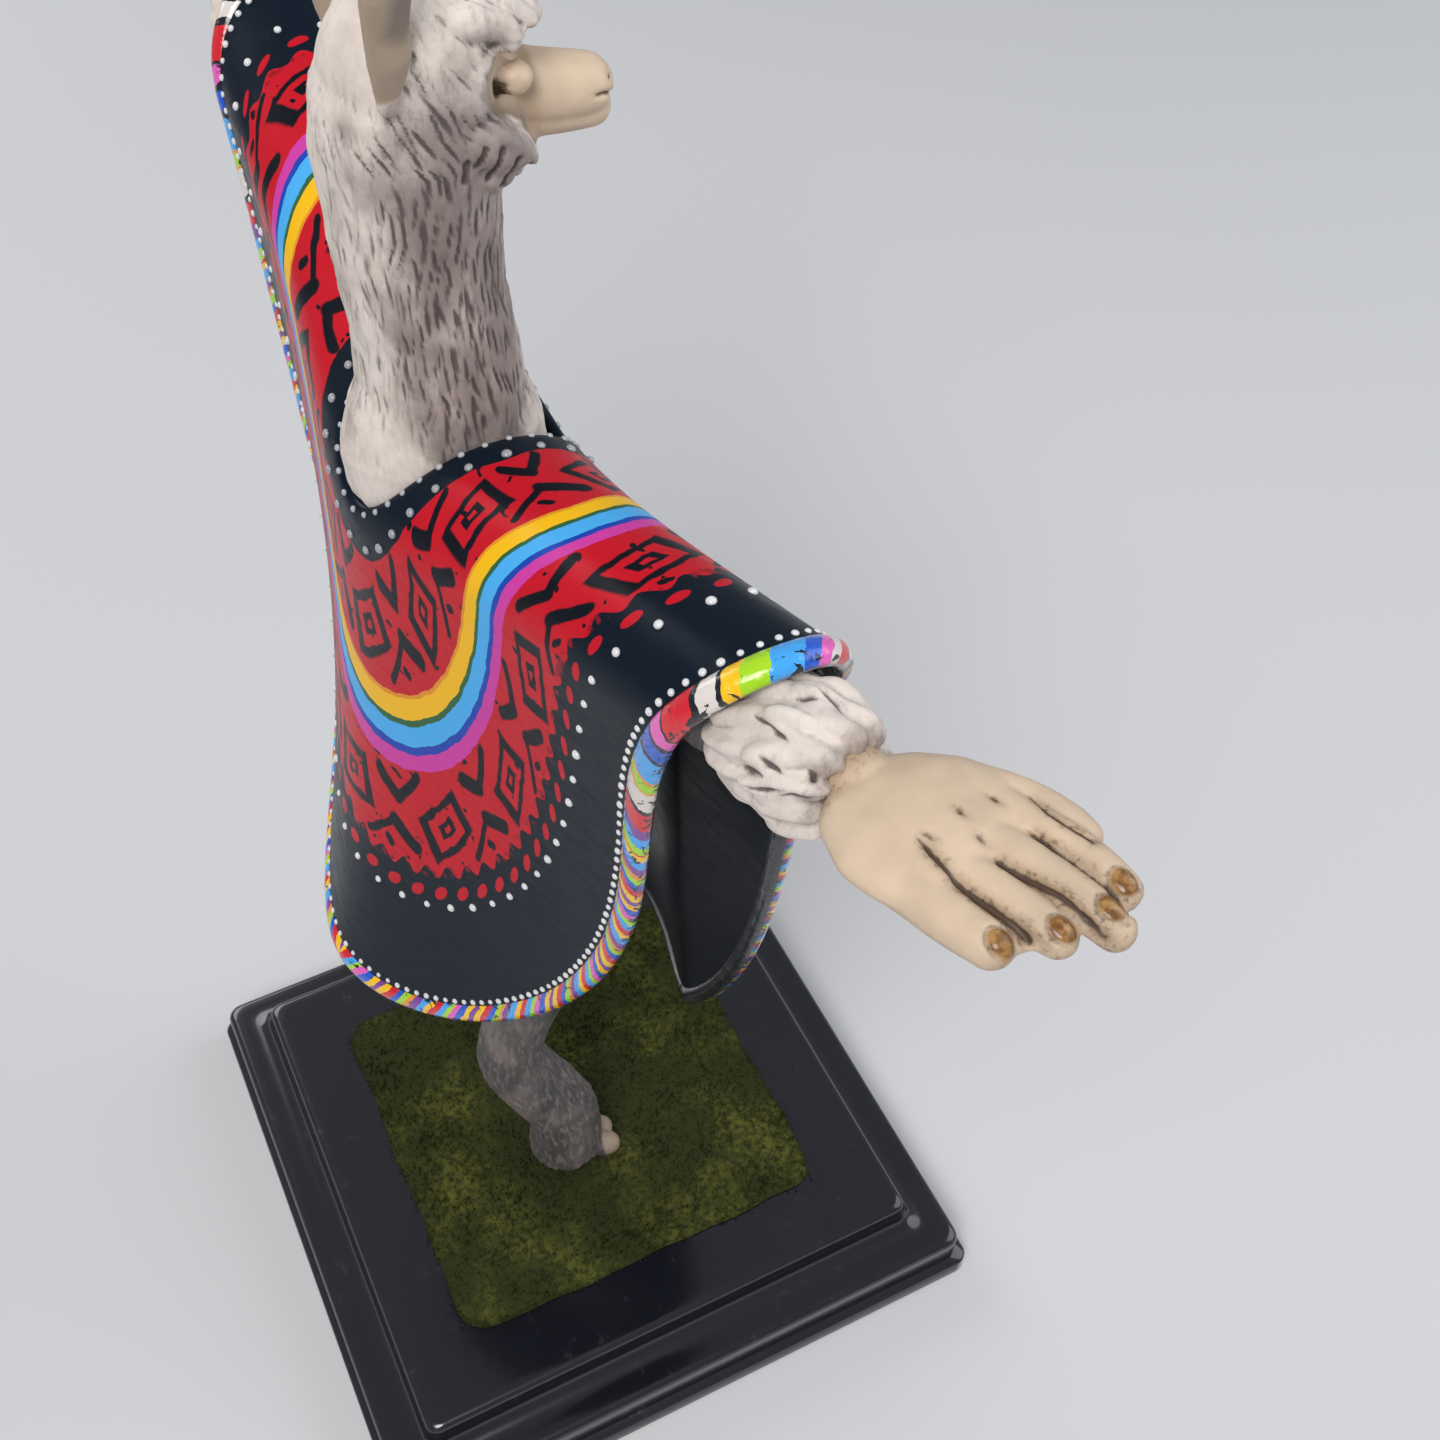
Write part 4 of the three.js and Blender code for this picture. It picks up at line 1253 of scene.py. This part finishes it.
    def parts(self):
        rng = np.random.default_rng(3)
        parts = [
            limb(NECK, NECK_RADII, 40, 40, 1.06, ends=(0.8, 0.8)),
            limb(NECK_FLARE, [6.8, 8.1, 8.1, 6.9, 5.2], 36, 24, 1.36, ends=(1, 0.5)),
            ball(*SKULL, 36, 28),
            limb(SNOUT, [5.0, 4.3, 3.6, 3.2, 2.6], 40, 34, 0.97, ends=(0.5, 0.9)),
            limb(JAW, [3.8, 3.2, 2.7, 2.3, 2.0], 36, 30, 0.95, ends=(0.5, 0.9)),
        ]
        for side in (-1, 1):
            mirror = np.array((side, 1, 1))
            parts.append(ball(EYE * mirror, EYE_RADII))
            parts.append(limb(UPPER_RUFF * mirror, [2.0, 2.5, 2.5, 2.1, 1.3], 24, 22, ends=(1, 0.8)))
            parts.append(limb(LOWER_RUFF * mirror, [1.8, 2.0, 2.0, 1.7, 1.1], 24, 22, ends=(1, 0.8)))
        for x in (-1.6, 0.0, 1.6):
            tip = (x * 0.8, -8.2, 178.4 + 0.3 * abs(x))
            parts.append(lock((x, -3, 183), (x, -6.6, 180.9), tip, 1.9, 0.5, 12, 12))
        for spread in np.linspace(-1, 1, 7):
            root = (spread * 4.6, 0.5, 197.2 - 1.8 * spread**2)
            middle = (spread * 5.4, -5.6 + 1.6 * spread**2, 196.0 - 1.2 * spread**2 + rng.uniform(-0.2, 0.2))
            tip = (spread * 5.8, -10.4 + 4.2 * spread**2, 191.9 + 0.9 * spread**2 + rng.uniform(-0.3, 0.3))
            parts.append(lock(root, middle, tip, 1.9, 0.6, 14, 14))
        for side in (-1, 1):
            path = EAR * np.array((side, 1, 1))
            parts.append(limb(path, [1.4, 2.45, 3.15, 2.4, 0.7], 32, 30, 0.46, (side * 0.45, 0.9, 0)))
        return parts

    def ears(self, points, normal):
        """Where the ears are, and where their hollow fronts are."""
        x, y, z = points.T
        side = np.sign(x)
        ear_x, ear_y = (np.interp(z, [p[2] for p in EAR], [p[k] for p in EAR]) for k in (0, 1))
        aside = np.hypot((x * side - ear_x) / 1.9, (y - ear_y) / 3.4)
        proud = np.linalg.norm((points - SKULL[0]) / SKULL[1], axis=1)
        ear = ramp(z, 190.8, 191.6) * ramp(proud, 1.05, 1.1) * ramp(aside, 1.6, 1.4)
        ear *= ramp(x * side, 4.8, 5.3)
        front = np.clip((normal[:, 0] * side * 0.5 - normal[:, 1] * 0.9) * 2, 0, 1)
        return ear, bell(aside, 1.0) * ramp(z, 194.5, 197.5) * ramp(z, 212, 207) * front

    def eyes(self, points):
        """Where the lids are, and how deep and dark the lines round eyes and nostrils are."""
        lid, sink, dark = np.zeros((3, len(points)))
        for side in (-1, 1):
            mirror = np.array((side, 1, 1))
            eye = points - EYE * mirror
            rise = eye[:, 2]
            far = np.linalg.norm(eye / EYE_RADII, axis=1)
            lid = np.maximum(lid, ramp(far, 1.14, 1.06))
            crescent = bell(far - 1.2, 0.2) * ramp(rise - 0.35 * eye[:, 1], 0.7, -0.1)
            fold = bell(far - 1.7, 0.12) * ramp(rise, 0.2, -0.8) * 0.3
            above = bell(far - 1.25, 0.16) * ramp(rise, 0.2, 1.2) * 0.35
            hole = bell(np.linalg.norm((points - NOSTRIL * mirror) / (0.55, 0.8, 0.35), axis=1), 1.0)
            sink += 0.4 * crescent + 0.1 * fold + 0.15 * above + 0.25 * hole
            dark += 0.85 * crescent + 0.35 * fold + 0.4 * above + 0.65 * hole
        return lid, sink, dark


def cuff_place(side):
    return (RIGHT_REACH if side < 0 else LEFT_REACH) + 3.0


def hand_frame(side):
    """Where the wrist is, and the hand's directions: ahead, across to the thumb, and up."""
    y, z, radius = ridge(side * cuff_place(side))
    wrist = np.array([side * (cuff_place(side) + 2.75), y - 0.6, z - radius + 1.4])
    ahead = unit(np.array([side * 0.93, -0.37, 0.1 if side < 0 else 0.24]))
    across = unit(np.array([-side * 0.37, -0.93, 0]))
    return wrist, np.stack([ahead, across, np.cross(ahead, across) * -side])


class STATUETTE_OT_hands(bpy.types.Operator):
    """Carves both hands with their creases and nails, and the woolly cuffs"""

    bl_idname = "statuette.hands"
    bl_label = "Hands"

    def execute(self, context):
        sizes = context.scene.statuette_sizes
        for side, name in ((-1, "llama_right"), (1, "llama_left")):
            wrist, axes = hand_frame(side)
            self.hand(name + "_hand", wrist, axes, sizes.hand_voxel)
            self.cuff(name + "_cuff", wrist, axes, sizes.cuff_voxel, side)
        return {"FINISHED"}

    def hand(self, name, wrist, axes, voxel):
        sideways = (0, 1, 0)
        parts = [
            limb(PALM, PALM_RADII, 48, 36, 0.36, sideways, (0.9, 0.6)),
            limb(WRIST, [3.1, 2.9, 3.3, 4.6], 32, 20, 0.9, sideways),
            limb(WEB, [7.4, 7.4, 6.9, 5.8], 40, 26, 0.26, sideways, (0.8, 0.5)),
        ]
        for path, radii in zip(FINGERS, FINGER_RADII):
            parts.append(limb(path, radii, 28, 26, 0.95, sideways, (1, 0.9)))
        order = -1 if np.linalg.det(axes) < 0 else 1
        parts = [(wrist + verts @ axes, [face[::order] for face in faces]) for verts, faces in parts]
        obj = sculpt(name, parts, voxel, 12)

        points = points_of(obj)
        normal = points_of(obj, "normal")
        local = (points - wrist) @ axes.T
        a, b, _ = local.T
        plane = local[:, :2]
        top = np.clip(normal @ axes[2] * 1.6 + 0.25, 0, 1)
        uneven = 1 + 0.4 * grain(local, (0.8, 0.8, 0.8), 4.0)
        dark, sink, grubby, nail = np.zeros((4, len(points)))
        for line in CREASES:
            far, where = near_line(plane, line)
            fade = ramp(where, 0, 0.2) * top
            sink += 0.45 * bell(far, 0.34) * fade * uneven
            dark += 1.1 * bell(far, 0.22) * fade * uneven
            grubby = np.maximum(grubby, bell(far, 1.0) * fade)
        for spot in DIMPLES:
            far = np.linalg.norm((plane - spot) * (0.6, 1.25), axis=1)
            sink += 0.3 * bell(far, 0.55) * top
            dark += 0.6 * bell(far, 0.42) * top
            grubby = np.maximum(grubby, 0.7 * bell(far, 0.9) * top)
        for spot in NAILS:
            far = np.linalg.norm((plane - spot) / NAIL_RADII, axis=1)
            nail = np.maximum(nail, ramp(far, 1.08, 0.86) * ramp(top, 0, 0.5))
            rim = bell(far - 1.15, 0.22) * top
            sink += 0.16 * rim - 0.1 * ramp(far, 1, 0) * top
            dark += 0.5 * rim * np.clip(0.9 + 0.5 * (spot[0] - a), 0.3, 1)
            grubby = np.maximum(grubby, 0.5 * np.exp(-((far / 1.5) ** 4)))
        points = points - normal * (sink - 0.06 * grain(local, (0.5, 0.5, 0.5), 2.0))[:, None]
        # darker finger tips, with painted shade on their undersides; darker too at the little finger's edge,
        # at the wrist and round the creases and nails
        darkening = ramp(a, 22, 29) * (0.75 - 0.35 * top) + ramp(b, -7.5, -10) * 0.25
        darkening = darkening + ramp(a, 5, 1.5) * 0.9 + 0.8 * grubby
        finish_carving(obj, points, dark, 0.1, 0.35, 10, skin=1.0, nail=nail, crease=np.clip(darkening, 0, 1))
        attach(obj, "root")

    def cuff(self, name, wrist, axes, voxel, side):
        rng = np.random.default_rng(20 + side)
        core = wrist + np.array([(-13, 1, -1.6), (-7, 0, -1.1), (0, -0.5, -0.6)]) @ axes
        parts = [limb(core, [4.9, 5.9, 6.4, 6.2, 4.6], 36, 24, 1.0, axes[1], (0.8, 0.6))]
        count = 10
        for i in range(count):
            turn = (i + rng.uniform(-0.2, 0.2)) / count * TURN
            swirl = rng.uniform(0.1, 0.3)
            ahead = np.array([-6.0, -2.0, rng.uniform(1.4, 2.6)])
            turns = turn + swirl * np.array([0, 0.6, 1])
            radii = np.array([4.6, 4.7, 3.9])
            lie = np.c_[ahead, np.cos(turns) * radii - 0.4, np.sin(turns) * radii - 0.8]
            parts.append(lock(*(wrist + lie @ axes), rng.uniform(2.2, 2.7), 0.7, 14, 16))
        obj = sculpt(name, parts, voxel, 5)
        points = points_of(obj)
        normal = points_of(obj, "normal")
        local = (points - wrist) @ axes.T
        ahead = local[:, 0]
        turn = np.arctan2(local[:, 2] + 0.8, local[:, 1] + 0.4)
        round_ = (turn + 0.07 * ahead) / TURN
        swell = np.sin(round_ * TURN * 11 + 2.6 * grain(local, (0.1, 0.2, 0.2), 7.0))
        fine = furrows(round_, ahead, local * 0.5, 26, 8.0 + side, 7.0, 1.0)
        bend = 0.5 * grain(local, (0.35, 0.35, 0.35), 12.0)
        flat = np.c_[ahead + bend, np.mod(turn, TURN) * CUFF_RADIUS + bend]
        cuts, shade = np.zeros((2, len(points)))
        for ends in CUFF_CUTS:
            far, where = near_line(flat, [(a, turned * CUFF_RADIUS) for a, turned in ends])
            along = np.sin(math.pi * where)
            cuts = np.maximum(cuts, bell(far, 0.1 + 0.14 * along) * along**0.5)
            shade = np.maximum(shade, bell(far, 0.75) * along)
        cuts *= 1 + 0.4 * grain(local, (1.2, 1.2, 1.2), 6.0)
        points = points - normal * (0.34 * swell + 0.3 * fine + 0.5 * cuts + 0.3 * shade)[:, None]
        # darker at the end over the hand, and painted shade round the cuts
        dim = -0.25 + 0.7 * ramp(ahead, 0.3, 1.9) + 0.55 * shade
        finish_carving(obj, points, 0.85 * cuts + 0.3 * fine, 0.5, 0.5, 16, dim=dim)
        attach(obj, "root")


class STATUETTE_OT_body(bpy.types.Operator):
    """Carves the body and arms under the poncho, and both legs"""

    bl_idname = "statuette.body"
    bl_label = "Body and legs"

    def execute(self, context):
        obj = sculpt("llama_body", self.parts(), context.scene.statuette_sizes.body_voxel, 1)
        points = points_of(obj)
        normal = points_of(obj, "normal")
        x, y, z = points.T
        toes = ramp(z, 4.4, 4.0) * ramp(y, -0.2, -0.7) * (x < 0)
        toes = np.maximum(toes, ramp(z, 51.3, 50.8) * ramp(y, -1.4, -1.9) * (x > 4) * (z > 40))
        line = np.interp(z, [0, 14, 38, 70, 102], [4.6, 4.6, 10.5, -3, 3.5])
        line = np.where(x < 1, line, np.interp(z, [49, 52, 61, 69, 77], [2.4, 3.4, 7.5, 3, -2.4]))
        round_ = np.arctan2(x - np.where(x < 1, -7.4, 10.0), line - y) / TURN
        cut = furrows(round_, z, points, 34, 2.0, 5.0)
        cut = np.maximum(cut, 0.7 * furrows(round_, z, points, 23, 7.0, 8.0, 1.1))
        leg = ramp(z, 104, 100) * (1 - toes)
        broad = grain(points, (0.35, 0.35, 0.14), 3.0)
        points = points - normal * ((0.35 * cut - 0.3 * broad) * leg)[:, None]
        points[:, 2] = np.maximum(points[:, 2], 0.0)
        # the leg darkened as the poncho's painted shadow over it, the toes less
        dim = np.where(toes > 0.5, 0.6, 1.75 + 0.25 * grain(points, (0.2, 0.2, 0.09), 6.0))
        finish_carving(obj, points, 0.4 * cut * leg, 0.4, 0.2, 10, skin=toes, crease=0.6 * toes, dim=dim)
        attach(obj, "root")
        return {"FINISHED"}

    def parts(self):
        trunk = [(0, 2.6, 146), (0, 3, 130), (0, 4, 112), (0, 4, 94)]
        arms, radii = [], []
        for k in np.linspace(-1, 1, 11):
            s = k * (cuff_place(k) - 6)
            y, z, radius = ridge(s)
            arms.append((s, y, z - radius))
            radii.append((radius - CLOTH_THICKNESS / 2 - FIT_GAP) * 0.84)
        standing = [(-6, 3.5, 102), (-8, -3, 70), (-7, 10.5, 38), (-7.6, 4.6, 14), (-7.8, 4.6, 0.6)]
        thigh = [(6, 3.6, 102), (9, 0.6, 88), (10, -2.6, 76)]
        shin = [(10, -2.4, 77), (10, 3, 69), (10, 7.5, 61), (10, 3.4, 52), (10, 2.4, 49)]
        parts = [
            limb(trunk, [9.6, 12, 11, 11.5, 9.2], 32, 24, 0.72),
            limb(arms, radii, 24, 60, 1.0, (0, 0, 1), (0.8, 0.8)),
            limb(standing, [7.0, 7.2, 6.2, 4.9, 4.9, 5.3, 5.6, 6.1], 32, 48, ends=(1, 0.35)),
            limb([(-7.8, 5, 6), (-8.2, 4, 0.0)], [4.6, 4.8], 24, 12, ends=(1, 0.4)),
            limb(thigh, [7, 6.6, 6, 5], 28, 20, 0.85),
            limb(shin, [4.6, 4.9, 4.7, 4.5, 4.8, 5.0], 28, 30, ends=(1, 0.4)),
        ]
        for heel, fall in (((-8.6, 1.6, 1.5), 0.3), ((10.6, 2.2, 51.6), 2.4)):
            for part in (-1.6, 1.6):
                toe = np.array([(0, 0, 0), (-0.8, -3, 0.1), (-1.4, -5.2, -fall)]) + heel + (part, 0, 0)
                parts.append(limb(toe, [2, 2.1, 1.7], 20, 16))
        return parts


# Stage

# The camera's place in metres, and the turn about an axis as long as its angle, fitted to the
# plinth's corners in the photograph
CAMERA_PLACE = (-0.14181175, 0.04092158, 0.28689986)
CAMERA_TURN = (1.39597168, -2.24801839, 0.824418699)


class STATUETTE_OT_stage(bpy.types.Operator):
    """Lays the pale floor, hangs the soft lights and sets the camera"""

    bl_idname = "statuette.stage"
    bl_label = "Stage"

    def execute(self, context):
        scene = context.scene
        only()
        bpy.ops.mesh.primitive_plane_add(size=8.0, location=(0, 0, 0))
        floor = context.object
        floor.name = "floor"
        paint = Paint("pale_floor")
        tone = paint.mix(paint.noise(3.0, 2), (0.62, 0.63, 0.64), (0.66, 0.66, 0.67))
        floor.data.materials.append(paint.finish(Base_Color=tone, Roughness=0.8))

        self.light("key", (-0.4, 0.3, 0.75), 0.4, 4.6, (1.0, 0.98, 0.96))
        self.light("fill", (-0.2, -0.7, 0.55), 0.8, 3.0, (0.93, 0.96, 1.0))
        self.light("rim", (0.7, 0.25, 0.5), 0.5, 2.0, (1.0, 1.0, 1.0))
        world = bpy.data.worlds.new("studio")
        world.use_nodes = True
        background = world.node_tree.nodes["Background"]
        background.inputs["Color"].default_value = (0.9, 0.93, 1.0, 1.0)
        background.inputs["Strength"].default_value = 0.32
        scene.world = world
        scene.view_settings.view_transform = "Standard"

        data = bpy.data.cameras.new("camera")
        data.sensor_width = 36.0
        data.lens = scene.statuette_sizes.camera_lens
        data.clip_start = 0.01
        camera = bpy.data.objects.new("camera", data)
        scene.collection.objects.link(camera)
        axis = Vector(CAMERA_TURN)
        rows = Matrix.Rotation(axis.length, 3, axis.normalized())
        turned = Matrix((rows[0], -rows[1], -rows[2])).transposed()
        camera.matrix_world = Matrix.Translation(CAMERA_PLACE) @ turned.to_4x4()
        scene.camera = camera
        return {"FINISHED"}

    def light(self, name, place, size, power, colour):
        data = bpy.data.lights.new(name, "AREA")
        data.shape = "DISK"
        data.size = size
        data.energy = power
        data.color = colour
        obj = bpy.data.objects.new(name, data)
        obj.location = place
        aim = Vector((0, 0, 0.12)) - Vector(place)
        obj.rotation_mode = "QUATERNION"
        obj.rotation_quaternion = aim.to_track_quat("-Z", "Y")
        bpy.context.scene.collection.objects.link(obj)


class VIEW3D_PT_statuette(bpy.types.Panel):
    bl_label = "Statuette"
    bl_space_type = "VIEW_3D"
    bl_region_type = "UI"
    bl_category = "Statuette"

    def draw(self, context):
        for group in (context.scene.statuette_sizes, context.scene.statuette_colours):
            box = self.layout.box()
            for name in group.bl_rna.properties.keys():
                if name not in ("rna_type", "name"):
                    box.prop(group, name)
        for name in ORDER:
            self.layout.operator(f"statuette.{name}")


ORDER = ("stage", "plinth", "grass", "poncho", "head", "hands", "body")
CLASSES = (
    StatuetteSizes,
    StatuetteColours,
    STATUETTE_OT_stage,
    STATUETTE_OT_plinth,
    STATUETTE_OT_grass,
    STATUETTE_OT_poncho,
    STATUETTE_OT_head,
    STATUETTE_OT_hands,
    STATUETTE_OT_body,
    VIEW3D_PT_statuette,
)


def register():
    for cls in CLASSES:
        bpy.utils.register_class(cls)
    bpy.types.Scene.statuette_sizes = bpy.props.PointerProperty(type=StatuetteSizes)
    bpy.types.Scene.statuette_colours = bpy.props.PointerProperty(type=StatuetteColours)


def unregister():
    del bpy.types.Scene.statuette_colours
    del bpy.types.Scene.statuette_sizes
    for cls in reversed(CLASSES):
        bpy.utils.unregister_class(cls)


def main():
    register()
    for name in ORDER:
        getattr(bpy.ops.statuette, name)()


if __name__ == "__main__":
    main()
